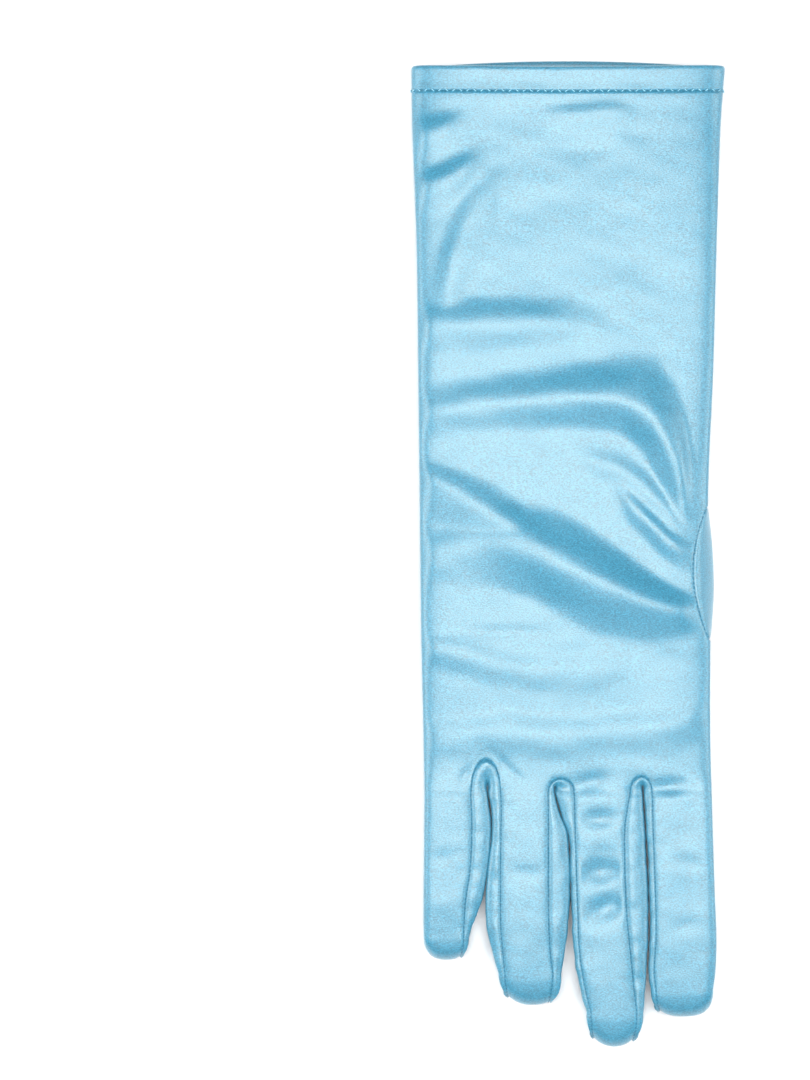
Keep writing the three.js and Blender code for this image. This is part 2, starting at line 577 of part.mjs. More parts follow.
// Which way the skin faces at each point
const normals = points.map(() => new THREE.Vector3());
for (const { ids } of faces) {
  ids.forEach((id, k) => {
    const before = points[ids[(k + ids.length - 1) % ids.length]].clone().sub(points[id]).normalize();
    const after = points[ids[(k + 1) % ids.length]].clone().sub(points[id]).normalize();
    const corner = after.cross(before);
    const angle = Math.asin(clamp(corner.length(), 0, 1));
    if (corner.lengthSq() > 1e-12) normals[id].addScaledVector(corner.normalize(), Math.max(angle, 0.05));
  });
}
normals.forEach((normal, id) => (facing.has(id) ? normal.copy(facing.get(id)) : normal.normalize()));

// A piece: its faces, drawn back from its neighbours by half a seam gap, and given the cloth's thickness
// inwards
function makePiece(name, cloth) {
  const own = faces.filter(({ piece }) => piece === name);
  const owner = new Map();
  for (const { piece, ids } of faces) {
    ids.forEach((id, k) => owner.set(`${id} ${ids[(k + 1) % ids.length]}`, piece));
  }
  const edges = [];
  for (const { ids } of own) {
    ids.forEach((id, k) => {
      const next = ids[(k + 1) % ids.length];
      const beyond = owner.get(`${next} ${id}`);
      if (beyond !== name) edges.push({ from: id, to: next, sewn: beyond !== undefined });
    });
  }
  const into = new Map(edges.map((edge) => [edge.to, edge]));
  const shift = new Map();
  for (const edge of edges) {
    const arriving = into.get(edge.from);
    if (!edge.sewn || !arriving) continue;
    const id = edge.from;
    const before = points[id].clone().sub(points[arriving.from]).normalize();
    const after = points[edge.to].clone().sub(points[id]).normalize();
    const normal = normals[id];
    const inward = normal.clone().cross(before.clone().add(after));
    const straight = before.dot(after);
    if (straight > -0.5) {
      inward.normalize().divideScalar(Math.sqrt((1 + straight) / 2));
    } else {
      const turn = before.clone().cross(after).dot(normal);
      inward.copy(after).sub(before).normalize().multiplyScalar(turn > 0 ? TIP_PULL : -1);
    }
    shift.set(id, inward.multiplyScalar(SEAM_GAP / 2));
  }

  const corners = [];
  const index = new Map();
  const place = (id, inner) => {
    const key = inner ? `${id} inner` : `${id}`;
    if (!index.has(key)) {
      const p = points[id].clone();
      if (shift.has(id)) p.add(shift.get(id));
      p.z = Math.max(p.z, 0);
      if (inner) p.addScaledVector(normals[id], -cloth * (pinched.has(id) ? PINCH : 1));
      index.set(key, corners.push(p.x, p.y, p.z) / 3 - 1);
    }
    return index.get(key);
  };
  const triangles = [];
  for (const { ids } of own) {
    for (let k = 1; k + 1 < ids.length; k++) {
      triangles.push(place(ids[0]), place(ids[k]), place(ids[k + 1]));
      triangles.push(place(ids[0], true), place(ids[k + 1], true), place(ids[k], true));
    }
  }
  for (const { from, to } of edges) {
    triangles.push(place(from), place(from, true), place(to, true));
    triangles.push(place(from), place(to, true), place(to));
  }
  const geometry = new THREE.BufferGeometry();
  geometry.setAttribute("position", new THREE.Float32BufferAttribute(corners, 3));
  geometry.setIndex(triangles);
  geometry.computeVertexNormals();
  const satin = new THREE.MeshStandardMaterial({ color: 0x9fd3ea, roughness: 0.42, metalness: 0.15 });
  const mesh = new THREE.Mesh(geometry, satin);
  mesh.name = name;
  return mesh;
}

const group = new THREE.Group();
group.name = "costume_glove";
group.add(makePiece("hand_panel", CLOTH));
for (const { name } of CROTCHES) group.add(makePiece(`fourchette_${name}`, CLOTH));
group.add(makePiece("thumb", CLOTH));
group.add(makePiece("cuff_hem", HEM_CLOTH));

export default group;
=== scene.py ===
# %% [markdown]
# # A long satin dress glove, laid flat
#
# One glove for the right hand, palm down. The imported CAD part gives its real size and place. Here the same
# pattern pieces are built again as fine cloth, with folds, puckered seams and stitches.

import bpy
import numpy as np
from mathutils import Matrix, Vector, kdtree


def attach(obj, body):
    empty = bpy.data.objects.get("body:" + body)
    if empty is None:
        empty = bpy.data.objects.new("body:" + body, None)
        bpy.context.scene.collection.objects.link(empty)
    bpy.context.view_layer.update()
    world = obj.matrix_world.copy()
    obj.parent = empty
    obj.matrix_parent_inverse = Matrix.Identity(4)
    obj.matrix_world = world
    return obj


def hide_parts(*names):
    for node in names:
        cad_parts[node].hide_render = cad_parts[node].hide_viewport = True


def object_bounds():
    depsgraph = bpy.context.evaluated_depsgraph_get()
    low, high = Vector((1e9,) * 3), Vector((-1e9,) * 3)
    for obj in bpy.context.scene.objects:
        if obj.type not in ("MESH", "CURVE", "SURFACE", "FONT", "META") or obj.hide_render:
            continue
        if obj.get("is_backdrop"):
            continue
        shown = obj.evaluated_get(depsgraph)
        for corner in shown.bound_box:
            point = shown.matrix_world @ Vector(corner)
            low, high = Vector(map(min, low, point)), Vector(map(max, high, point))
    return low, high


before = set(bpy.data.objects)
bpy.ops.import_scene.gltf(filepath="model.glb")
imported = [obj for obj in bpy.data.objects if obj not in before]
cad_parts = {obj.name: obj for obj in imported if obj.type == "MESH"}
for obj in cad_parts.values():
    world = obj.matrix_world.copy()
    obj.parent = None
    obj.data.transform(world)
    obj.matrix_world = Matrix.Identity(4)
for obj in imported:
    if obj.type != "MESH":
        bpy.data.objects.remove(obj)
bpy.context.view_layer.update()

# %% [markdown]
# ## Sizes
#
# All tables are in millimetres or in shares of these sizes, and MM turns them into metres at the very end.
# They are the sizes of the cut glove, so a wider cuff or a longer finger is one changed number.

# %% Sizes
MM = 0.001
GLOVE_LENGTH = 314.0
CUFF_WIDTH = 100.0
PALM_WIDTH = 91.4
MIDDLE_LENGTH = 81.6
THUMB_LENGTH = 58.0
THUMB_WIDTH = 27.0
HOLE_START = 141.5
HOLE_LENGTH = 43.0
HOLE_DEPTH = 5.4
TUCK_DEPTH = 9.5
THUMB_BULGE = 1.9
HEM_DEPTH = 7.8
HEM_SWELL = 0.2
HEM_HOLLOW = 0.15
SLEEVE_HEIGHT = 12.0
FINGER_HEIGHT = 11.4
THUMB_HEIGHT = 3.4
FINGER_GAP = 0.03
UNDER_REACH = 2.2
RIM_SAG = 0.8
EDGE_ROUND = 4.0
THUMB_CLEARANCE = 0.4
DRAPE_PLATEAU = 5.0
DRAPE_END = 14.0
EDGE_SHARE = 0.34
SEAM_SHARE = 0.97
STRIP_SHARE = 0.78
SIDE_POWER = 8
MOUTH_POWER = 3.2
RUN_OUT = 8.0
PITCH = 1.3
CLOTH = 0.7
HEM_CLOTH = 1.5
RIM_Y = GLOVE_LENGTH / 2
CROTCH_Y = MIDDLE_LENGTH - GLOVE_LENGTH / 2
SLEEVE_LENGTH = RIM_Y - CROTCH_Y
HOLE_END = HOLE_START + HOLE_LENGTH

# %% [markdown]
# ## Tables of the outline
#
# Each row of SLEEVE is a section across the sleeve or the hand: its place along the sleeve, its width between
# cuff and palm, its sideways shift and its height. Each finger has rows from the crotch (0) to the start of
# its rounded tip (1) with its two outer edges and its two seams, as shares of the palm's width.

# %% Outline tables
SLEEVE = np.array([
    # along, taper, shift, puff
    (0.00, 0.00, 0.000, 1.00),
    (0.04, 0.09, -0.003, 0.95),
    (0.09, 0.19, -0.006, 0.92),
    (0.25, 0.51, -0.006, 0.95),
    (0.42, 0.70, -0.009, 1.00),
    (0.60, 0.95, -0.015, 1.02),
    (0.79, 0.93, -0.009, 1.00),
    (0.90, 1.00, -0.006, 0.94),
    (1.00, 1.00, -0.002, 0.92),
])
FINGERS = {
    "little": {
        "length": 53.9, "tip": 0.085, "folded": (True, False), "blunt": (2.4, 2.3),
        "rows": np.array([
            # at, left edge, left seam, right seam, right edge, puff
            (0.00, -0.502, -0.502, -0.341, -0.283, 1.00),
            (0.25, -0.503, -0.503, -0.338, -0.269, 1.00),
            (0.52, -0.504, -0.504, -0.343, -0.280, 0.99),
            (0.74, -0.505, -0.505, -0.359, -0.300, 0.97),
            (0.90, -0.505, -0.505, -0.364, -0.330, 0.93),
            (1.00, -0.504, -0.504, -0.366, -0.346, 0.90),
        ]),
    },
    "ring": {
        "length": 68.3, "tip": 0.115, "folded": (False, False), "blunt": (1.9, 2.8),
        "rows": np.array([
            (0.00, -0.281, -0.236, -0.072, -0.051, 1.00),
            (0.12, -0.268, -0.235, -0.072, -0.030, 1.00),
            (0.22, -0.268, -0.236, -0.072, -0.004, 1.00),
            (0.52, -0.288, -0.237, -0.072, 0.006, 0.99),
            (0.74, -0.286, -0.236, -0.070, -0.002, 0.97),
            (0.90, -0.263, -0.228, -0.064, -0.015, 0.93),
            (1.00, -0.245, -0.222, -0.056, -0.025, 0.90),
        ]),
    },
    "middle": {
        "length": 81.6, "tip": 0.125, "folded": (False, False), "blunt": (2.1, 2.1),
        "rows": np.array([
            (0.00, -0.049, 0.019, 0.212, 0.257, 1.00),
            (0.12, -0.022, 0.021, 0.197, 0.263, 1.00),
            (0.20, 0.000, 0.022, 0.192, 0.267, 1.00),
            (0.52, 0.009, 0.030, 0.198, 0.277, 0.99),
            (0.74, 0.018, 0.038, 0.214, 0.273, 0.97),
            (0.90, 0.040, 0.058, 0.226, 0.266, 0.93),
            (1.00, 0.060, 0.076, 0.236, 0.261, 0.90),
        ]),
    },
    "index": {
        "length": 72.0, "tip": 0.100, "folded": (False, True), "blunt": (2.2, 3.0),
        "rows": np.array([
            (0.00, 0.259, 0.289, 0.498, 0.498, 1.00),
            (0.20, 0.269, 0.292, 0.502, 0.502, 1.00),
            (0.52, 0.280, 0.300, 0.509, 0.509, 0.99),
            (0.74, 0.282, 0.302, 0.515, 0.515, 0.97),
            (0.90, 0.276, 0.296, 0.512, 0.512, 0.93),
            (1.00, 0.284, 0.302, 0.504, 0.504, 0.90),
        ]),
    },
}
CROTCHES = {
    # name: how far the seam arches up over the crotch on the back of the hand, and on the palm side
    "little_ring": (0.115, 0.060),
    "ring_middle": (0.046, 0.045),
    "middle_index": (0.053, 0.045),
}
THUMB = np.array([
    # at, flare, full, turn in degrees, bow
    (0.10, 0.70, 1.00, 5, 0.16),
    (0.26, 0.42, 1.00, 16, 0.10),
    (0.44, 0.20, 1.00, 32, 0.05),
    (0.62, 0.02, 1.00, 42, 0.03),
    (0.79, 0.00, 0.97, 46, 0.03),
    (0.88, 0.00, 0.88, 46, 0.03),
    (0.94, 0.00, 0.68, 46, 0.06),
])

# %% [markdown]
# ## Folds and dents
#
# Stretch satin that has been worn and laid down again keeps soft folds across the wrist. Each fold is a crest
# through a few places, with a steep flank towards the cuff and a long one towards the fingers. Dents are the
# small hollows that a fingertip pressed into the cloth would leave. Places are millimetres in the frame.

# %% Folds and dents
FOLD_EDGE = -43.0
FOLD_FADE = 4.0
FOLD_SHARPNESS = 0.25
FOLD_SHARED = 0.3
LONG_WAVE = (0.16, 34)
SHORT_WAVE = (0.07, 13)
FOLDS = [np.array(rows, float) for rows in (
    # x, y of the crest, rise, flank towards the cuff, flank towards the fingers
    [(-8, 139.5, 0.5, 4, 7), (5, 140, 0.9, 4.5, 8), (18, 141, 0.6, 4, 7)],
    [(-48, 134, 1.5, 6, 11), (-42, 134.5, 1.3, 6, 10), (-35, 137, 0.6, 5, 8)],
    [(-47, 117, 1.2, 5, 10), (-38, 119.5, 1.5, 6, 10), (-29, 125, 0.8, 5, 8)],
    [(-42, 84, 0.9, 6, 12), (-38, 92, 1.1, 7, 13), (-31, 106, 1.0, 7, 13), (-22, 116, 0.5, 6, 12)],
    [(-45, 72.5, 1.6, 9, 11), (-30, 73, 1.9, 9.5, 11), (-12, 73.5, 1.7, 9, 10), (3, 73, 0.9, 8, 9),
     (12, 72, 0.3, 7, 8)],
    [(-45, 45.6, 1.2, 9, 9), (-28, 47.8, 1.7, 10, 10), (-9, 49.4, 2.5, 11, 11), (7, 50, 3.5, 12.5, 12),
     (17, 48.8, 4.0, 14, 12), (25, 44.6, 4.2, 14, 12), (31, 36.6, 3.8, 11.5, 11), (36, 27, 2.7, 8, 9),
     (38.5, 20.6, 1.2, 5, 7)],
    [(16, 19.5, 1.2, 4, 6), (26, 9.5, 1.7, 4.5, 6), (32, 4, 1.7, 4.5, 6), (38, 0, 1.2, 4, 6)],
    [(4, 30, 0.4, 5, 8), (16, 27, 0.9, 5.5, 8), (27, 18, 1.0, 5, 7), (36, 7, 0.8, 4, 6)],
    [(-45, 24, 1.5, 7, 13), (-34, 18.5, 2.1, 8, 14), (-24, 12.5, 2.4, 9, 13), (-14, 6.5, 2.2, 9, 10),
     (-5, 2, 1.0, 8, 7)],
    [(-45, 0.5, 1.2, 9, 12), (-28, 3, 2.2, 11, 14), (-15, 1.6, 3.7, 15, 15), (-2.4, -3.2, 5.0, 16.5, 16),
     (10, -9, 5.0, 15, 16), (23, -14.6, 4.2, 11.5, 13), (32, -17, 3.2, 8, 11), (39, -18.4, 2.0, 6, 9)],
    [(-45, -29.5, 0.9, 6, 8), (-34, -31.5, 0.9, 6, 8), (-22, -35, 0.8, 6, 8), (0, -37, 0.5, 6, 8),
     (16, -36, 0.3, 6, 8)],
    [(-44, -57.5, 0.4, 6, 8), (-24, -56, 0.8, 7, 9), (-4, -57.5, 1.1, 8, 10), (14, -56, 0.9, 7, 9),
     (29, -55, 1.1, 8, 10), (42, -51.4, 0.7, 6, 9)],
)]
DENTS = [
    # x, y, half length, half width, turn in degrees, depth
    (22, 133, 9, 3, -8, 0.25),
    (6, 128.5, 10, 3.2, 0, 0.35),
    (-5, 112, 16, 5, 10, 0.3),
    (33, 112, 10, 6, 40, 0.3),
    (28, 88, 14, 5, -20, 0.3),
    (-20, -24.5, 16, 2.2, 0, 0.4),
    (30, -33, 12, 4, -12, 0.4),
    (-33, -70, 3.2, 1.5, 60, 0.5),
    (-21, -66, 5.0, 1.6, -38, 0.5),
    (-5, -74, 3.4, 1.5, 70, 0.5),
    (20, -76, 3.0, 1.4, -65, 0.5),
    (7.5, -72, 6.5, 2.8, 12, 1.0),
    (32, -73.5, 6.5, 2.4, 5, 0.9),
    (-18, -70, 5.0, 1.6, -30, 0.4),
    (9.5, -84, 6.0, 3.2, 5, 1.1),
    (11.5, -94, 4.5, 2.0, 0, 0.3),
    (10.5, -100.5, 6.5, 4.4, 8, 1.6),
    (12, -112, 7.0, 4.2, 28, 1.6),
    (-40, -96, 4.5, 2.4, 10, 0.35),
    (-14, -101, 5.0, 2.4, -8, 0.4),
    (38, -98, 5.5, 2.6, -10, 0.4),
    (36, -118, 6.0, 3.0, 14, 0.4),
]

# %% [markdown]
# A table's column is read as a smooth curve, so a few rows give a whole outline. The waves come from a fixed
# seed and are the same on every run. Where two folds meet, the higher one leads.

# %% Curves, waves and folds

def between(a, b, share):
    return a + (b - a) * share


def smooth(value, low, high):
    t = np.clip((value - low) / (high - low), 0, 1)
    return t * t * (3 - 2 * t)


def read(rows, column, at):
    """A smooth curve through one column of a table, read at the places in its first column."""
    x, y = rows[:, 0], rows[:, column]
    slope = np.empty(len(x))
    slope[1:-1] = (y[2:] - y[:-2]) / (x[2:] - x[:-2])
    slope[0] = (y[1] - y[0]) / (x[1] - x[0])
    slope[-1] = (y[-1] - y[-2]) / (x[-1] - x[-2])
    at = np.clip(np.asarray(at, float), x[0], x[-1])
    i = np.clip(np.searchsorted(x, at, side="right") - 1, 0, len(x) - 2)
    span = x[i + 1] - x[i]
    t = (at - x[i]) / span
    bend = t * (1 - t) * span * ((1 - t) * slope[i] - t * slope[i + 1])
    return between(y[i], y[i + 1], t * t * (3 - 2 * t)) + bend


def waves(x, y, length, seed, count=9):
    """Soft random waves of about one wavelength, from -1 to 1, the same on every run."""
    luck = np.random.default_rng(seed)
    total = 0
    for _ in range(count):
        angle = luck.uniform(0, np.pi)
        wave = length * luck.uniform(0.7, 1.5)
        total = total + np.sin(
            2 * np.pi * (x * np.cos(angle) + y * np.sin(angle)) / wave + luck.uniform(0, 2 * np.pi)
        )
    return total / count ** 0.5 / 1.6


def folds_at(x, y):
    """The height that folds, dents and soft waves add to the back of the glove."""
    rise = np.zeros_like(x)
    for rows in FOLDS:
        crest = read(rows, 1, x)
        lean = np.interp(x, rows[:, 0], np.gradient(rows[:, 1], rows[:, 0]))
        off = (y - crest) / np.hypot(1, lean)
        flank = np.abs(off) / np.where(off > 0, read(rows, 3, x), read(rows, 4, x))
        soft = 0.5 + 0.5 * np.cos(np.pi * np.clip(flank, 0, 1))
        straight = np.clip(1 - np.sqrt(flank ** 2 + 0.012), 0, 1) ** 1.15
        first = rows[0, 0] - (RUN_OUT if rows[0, 0] < FOLD_EDGE else 0)
        last = rows[-1, 0]
        ends = smooth(x, first - FOLD_FADE, first + FOLD_FADE + 1)
        ends = ends * (1 - smooth(x, last - FOLD_FADE, last + FOLD_FADE + 1))
        height = read(rows, 2, x) * ends * between(soft, straight, FOLD_SHARPNESS)
        rise = np.maximum(rise, height) + FOLD_SHARED * np.minimum(rise, height)
    for cx, cy, half, thin, turn, depth in DENTS:
        a = np.radians(turn)
        u = ((x - cx) * np.cos(a) + (y - cy) * np.sin(a)) / half
        v = (-(x - cx) * np.sin(a) + (y - cy) * np.cos(a)) / thin
        rise = rise - depth * np.exp(-(u * u + v * v) * 1.3)
    rise = rise + LONG_WAVE[0] * waves(x, y * 1.6, LONG_WAVE[1], 3)
    return rise + SHORT_WAVE[0] * waves(x, y * 1.4, SHORT_WAVE[1], 5)


# %% [markdown]
# ## Sections
#
# The sleeve is a flat tube with round sides. Its upper and its lower half meet at the sides, about a third of
# the way up.

# %% Sections


def crown(share, power=SIDE_POWER):
    """The height across a flat tube, from 1 in the middle to 0 at its sides: a higher power is boxier."""
    fall = np.abs(share) ** power
    return np.clip(1 - fall, 0, 1) ** (1 / power)


def section_at(along):
    """Half width, sideways shift, height and side height of the sleeve at a distance from the mouth."""
    share = along / SLEEVE_LENGTH
    width = between(CUFF_WIDTH, PALM_WIDTH, read(SLEEVE, 1, share))
    middle = CUFF_WIDTH * read(SLEEVE, 2, share)
    height = SLEEVE_HEIGHT * read(SLEEVE, 3, share)
    return width / 2, middle, height, height * EDGE_SHARE


def hole_arc(along):
    """How deep the thumb hole cuts in, from 0 at its two ends to 1 in its middle."""
    share = np.clip((along - HOLE_START) / HOLE_LENGTH, 0, 1)
    return np.sin(np.pi * share) ** 0.8 * (share > 0) * (share < 1)


def thumb_way(at):
    turn = np.radians(read(THUMB, 3, at))
    return np.array([-np.cos(turn), -np.sin(turn)])


# %% [markdown]
# The thumb leaves its hole across the palm and turns towards the fingertips. The palm's cloth lies over it,
# so the underside is highest there and drapes down beside it.

# %% The folded thumb and the underside
hole_middle = HOLE_START + HOLE_LENGTH / 2
hole_half, hole_shift, _, _ = section_at(hole_middle)
thumb_root = np.array([hole_shift + hole_half, RIM_Y - hole_middle])


def thumb_at(at):
    """The middle of the thumb's section, the way it runs, the way across it and its half width."""
    steps = 40
    place = thumb_root.copy()
    for k in range(steps):
        place = place + thumb_way(at * (k + 0.5) / steps) * THUMB_LENGTH * at / steps
    width = between(THUMB_WIDTH, HOLE_LENGTH, read(THUMB, 1, at)) * read(THUMB, 2, at)
    way = thumb_way(at)
    return place, way, np.array([-way[1], way[0]]), width / 2


thumb_path = [thumb_at(k / 16) for k in range(17)]


def under_at(x, y, inward, edge):
    """The height of the underside: flat on the table, round up to the sides and lifted over the thumb."""
    beside = np.full(np.broadcast(x, y).shape, 1e9)
    for place, _, _, half in thumb_path:
        beside = np.minimum(beside, np.hypot(x - place[0], y - place[1]) - half)
    cover = (THUMB_HEIGHT + THUMB_CLEARANCE) * (1 - smooth(beside, DRAPE_PLATEAU, DRAPE_END))
    turn = np.clip(1 - inward / EDGE_ROUND, 0, 1)
    return np.maximum(cover, edge * (1 - np.sqrt(1 - turn * turn)))


def finger_at(name, at):
    """A finger's section: place along Y, height, side height, edges and seams above and below."""
    finger = FINGERS[name]
    rows = finger["rows"]
    gap_left = 0 if finger["folded"][0] else FINGER_GAP / 2
    gap_right = 0 if finger["folded"][1] else FINGER_GAP / 2
    height = FINGER_HEIGHT * read(rows, 5, at)
    left = read(rows, 1, at) * PALM_WIDTH + gap_left
    right = read(rows, 4, at) * PALM_WIDTH - gap_right
    return {
        "y": CROTCH_Y - at * (finger["length"] - finger["tip"] * PALM_WIDTH),
        "height": height,
        "edge": height * EDGE_SHARE,
        "left": left,
        "right": right,
        "top_left": read(rows, 2, at) * PALM_WIDTH + gap_left,
        "top_right": read(rows, 3, at) * PALM_WIDTH - gap_right,
        "under_left": left if finger["folded"][0] else left + EDGE_ROUND,
        "under_right": right if finger["folded"][1] else right - EDGE_ROUND,
    }


# %% [markdown]
# ## One skin
#
# The whole glove is one skin of shared points, and each face belongs to a pattern piece. Points on a seam are
# the same for both pieces, so nothing gapes. Grids are collected first and equal points joined afterwards.

# %% The skin's bookkeeping
grid_points = []
grid_faces = []
grid_start = 0


def weave(piece, grid, flip):
    """Adds a grid of points (rows, columns, 3) as quads of one piece, and returns the points' numbers."""
    global grid_start
    rows, columns, _ = grid.shape
    ids = grid_start + np.arange(rows * columns).reshape(rows, columns)
    grid_start += rows * columns
    grid_points.append(grid.reshape(-1, 3))
    quads = np.stack([ids[:-1, :-1], ids[1:, :-1], ids[1:, 1:], ids[:-1, 1:]], -1).reshape(-1, 4)
    grid_faces.append((piece, quads[:, ::-1] if flip else quads))
    return ids


def spread(count, crowd_left, crowd_right):
    """Shares from 0 to 1 that stand closer together near a crowded end."""
    t = np.linspace(0, 1, count)
    left = t ** 1.35 if crowd_left else t
    right = 1 - (1 - t) ** 1.35 if crowd_right else t
    return between(left, right, t) if crowd_left and crowd_right else (left if crowd_left else right)


# %% [markdown]
# Columns stand closer together near a seam, where the cloth bends most. The outer side of the little and of
# the index finger has no seam but a fold, and a few extra columns there keep it round.

# %% The columns of the fingers
FINGER_COLUMNS = 18
ARCH_STEPS = 8
SIDE_COLUMNS = 17
TIP_ROWS = 9
names = list(FINGERS)
top_shares = {
    "little": np.sort(1 - spread(FINGER_COLUMNS, True, False)),
    "ring": spread(FINGER_COLUMNS, True, True),
    "middle": spread(FINGER_COLUMNS, True, True),
    "index": spread(FINGER_COLUMNS, True, False),
}
FOLD_SHARES = np.array([0, 0.012, 0.03, 0.055])
top_shares["little"] = np.unique(np.concatenate([FOLD_SHARES, top_shares["little"][1:]]))
top_shares["index"] = np.unique(np.concatenate([1 - FOLD_SHARES, top_shares["index"][:-1]]))


def under_places(name, row, share):
    """Where the underside's columns run: those by a folded side keep their distance from it."""
    wide = row["under_right"] - row["under_left"]
    curl = EDGE_ROUND * np.clip(0.5 * wide / EDGE_ROUND, 0, 1)
    folded = FINGERS[name]["folded"]
    if folded[0]:
        inner = share * 2
        far = between(row["under_left"] + curl, row["under_right"], np.clip(inner - 1, 0, 1))
        return np.where(inner <= 1, row["under_left"] + curl * inner, far)
    if folded[1]:
        inner = (1 - share) * 2
        far = between(row["under_right"] - curl, row["under_left"], np.clip(inner - 1, 0, 1))
        return np.where(inner <= 1, row["under_right"] - curl * inner, far)
    return between(row["under_left"], row["under_right"], share)


def panel_crown(name, share):
    """The height over a finger's upper panel: round beside a fold, a little lower at a seam."""
    folded = FINGERS[name]["folded"]
    off = np.abs(2 * share - 1)
    by_fold = between(EDGE_SHARE, 1, crown(off))
    by_seam = between(1, SEAM_SHARE, off ** 3.5)
    use_fold = ((share < 0.5) & folded[0]) | ((share >= 0.5) & folded[1])
    return np.where(use_fold, by_fold, by_seam)


# %% [markdown]
# The columns of the sleeve are the columns of the fingers, with those of a seam's arch between two fingers.
# So the cloth runs from the mouth into each fingertip without a step.

# %% The columns of the sleeve
top_x, top_rise, top_level, top_owner = [], [], [], []
under_x, under_rise, under_owner = [], [], []
roots = {name: finger_at(name, 0.0) for name in names}
for f, name in enumerate(names):
    row = roots[name]
    shares = top_shares[name]
    top_x += list(between(row["top_left"], row["top_right"], shares))
    top_rise += [0.0] * len(shares)
    top_level += list(panel_crown(name, shares))
    top_owner += [name] * len(shares)
    under_shares = np.linspace(0, 1, len(shares))
    under_x += list(under_places(name, row, under_shares))
    under_rise += [0.0] * len(shares)
    under_owner += [name] * len(shares)
    if f == 3:
        break
    crotch = list(CROTCHES)[f]
    rise_top, rise_under = CROTCHES[crotch]
    after = roots[names[f + 1]]
    for k in range(1, ARCH_STEPS):
        angle = np.pi * k / ARCH_STEPS
        share = (1 - np.cos(angle)) / 2
        top_x.append(between(row["top_right"], after["top_left"], share))
        top_rise.append(rise_top * np.sin(angle) * PALM_WIDTH)
        top_level.append(SEAM_SHARE)
        top_owner.append(crotch)
        under_x.append(between(row["under_right"], after["under_left"], share))
        under_rise.append(rise_under * np.sin(angle) * PALM_WIDTH)
        under_owner.append(crotch)
root_half, root_shift, _, _ = section_at(SLEEVE_LENGTH)
top_across = np.clip((np.array(top_x) - root_shift) / root_half, -1, 1)
under_across = np.clip((np.array(under_x) - root_shift) / root_half, -1, 1)
top_rise, under_rise, top_level = np.array(top_rise), np.array(under_rise), np.array(top_level)
top_owner, under_owner = np.array(top_owner), np.array(under_owner)

# %% [markdown]
# The rows run from the mouth to the roots of the fingers. Beside the thumb hole the last columns draw in, and
# near the crotches the rows bend up into the arches that the strips between the fingers are sewn to.

# %% The sleeve and the hand


def stretch(start, end, pitch):
    """Even steps from start to end, without the start."""
    return np.linspace(start, end, int(round((end - start) / pitch)) + 1)[1:]


hem_rows = stretch(0, HEM_DEPTH, 1.0)
upper_rows = stretch(HEM_DEPTH, HOLE_START, PITCH)
hole_rows = stretch(HOLE_START, HOLE_END, 1.3)
lower_rows = stretch(HOLE_END, SLEEVE_LENGTH, PITCH)
along = np.concatenate([[0.0], hem_rows, upper_rows, hole_rows, lower_rows])[:, None]
hem_row = len(hem_rows)
hole_row = hem_row + len(upper_rows)
hole_last = hole_row + len(hole_rows)


def across_of(across, owner, depth):
    """The last finger's columns crowd towards the edge of the thumb hole."""
    half = section_at(along)[0]
    first = across[owner == "index"][0]
    shrink = 1 - depth * hole_arc(along) / half / (1 - first)
    moved = first + (across[None, :] - first) * shrink
    return np.where((owner == "index")[None, :], moved, np.broadcast_to(across, moved.shape))


half, shift, height, edge = section_at(along)
arching = np.clip((along - HOLE_END) / (SLEEVE_LENGTH - HOLE_END), 0, 1) ** 2
rim = np.clip(1 - along / (4 * HEM_DEPTH), 0, 1)

across = across_of(top_across, top_owner, HOLE_DEPTH)
sleeve_x = shift + across * half
sag = (UNDER_REACH + RIM_SAG * (1 - across ** 2)) * rim
sleeve_y = RIM_Y - along - sag + top_rise[None, :] * arching
near = smooth(RIM_Y - sleeve_y, SLEEVE_LENGTH - 8, SLEEVE_LENGTH)
power = between(MOUTH_POWER, SIDE_POWER, smooth(along, 0, 70))
level = between(between(EDGE_SHARE, 1, crown(across, power)), top_level[None, :], near)
beside = smooth(1 - np.abs(across), 0.0, 0.09)
swell = HEM_SWELL * np.exp(-((along - HEM_DEPTH - 2) / 2) ** 2)
hollow = HEM_HOLLOW * np.exp(-((along - 4.5) / 2.6) ** 2)
sleeve_z = height * level + (folds_at(sleeve_x, sleeve_y) + swell - hollow) * beside
sleeve_top = np.stack([sleeve_x, sleeve_y, sleeve_z], -1)

across = across_of(under_across, under_owner, TUCK_DEPTH)
under_xs = shift + across * half
under_ys = RIM_Y - along - UNDER_REACH * across ** 2 * rim + under_rise[None, :] * arching
under_zs = under_at(under_xs, under_ys, half * (1 - np.abs(across)), edge)
sleeve_under = np.stack([under_xs, under_ys, under_zs], -1)
in_hole = ((along > HOLE_START + 1e-6) & (along < HOLE_END - 1e-6))[:, 0]
sleeve_under[:, 0] = sleeve_top[:, 0]
sleeve_under[~in_hole, -1] = sleeve_top[~in_hole, -1]

weave("cuff_hem", sleeve_top[: hem_row + 1], False)
weave("cuff_hem", sleeve_under[: hem_row + 1], True)
top_ids = weave("hand_panel", sleeve_top[hem_row:], False)
under_ids = weave("hand_panel", sleeve_under[hem_row:], True)
print("sleeve grid", sleeve_top.shape, sleeve_under.shape)

# %% [markdown]
# ## Fingers
#
# A finger is a flat upper panel and a flat lower one that meet round the tip. Their rows run down to the tip
# in even steps, and the last few curl over it.

# %% Fingers
finger_rows = {}
seam_ids = {}


def curl_of(k):
    """A row of the rounded tip: how far down the tip it lies and how much of the height is left there."""
    return np.sin(0.5 * np.pi * k / TIP_ROWS), np.cos(0.5 * np.pi * k / TIP_ROWS)


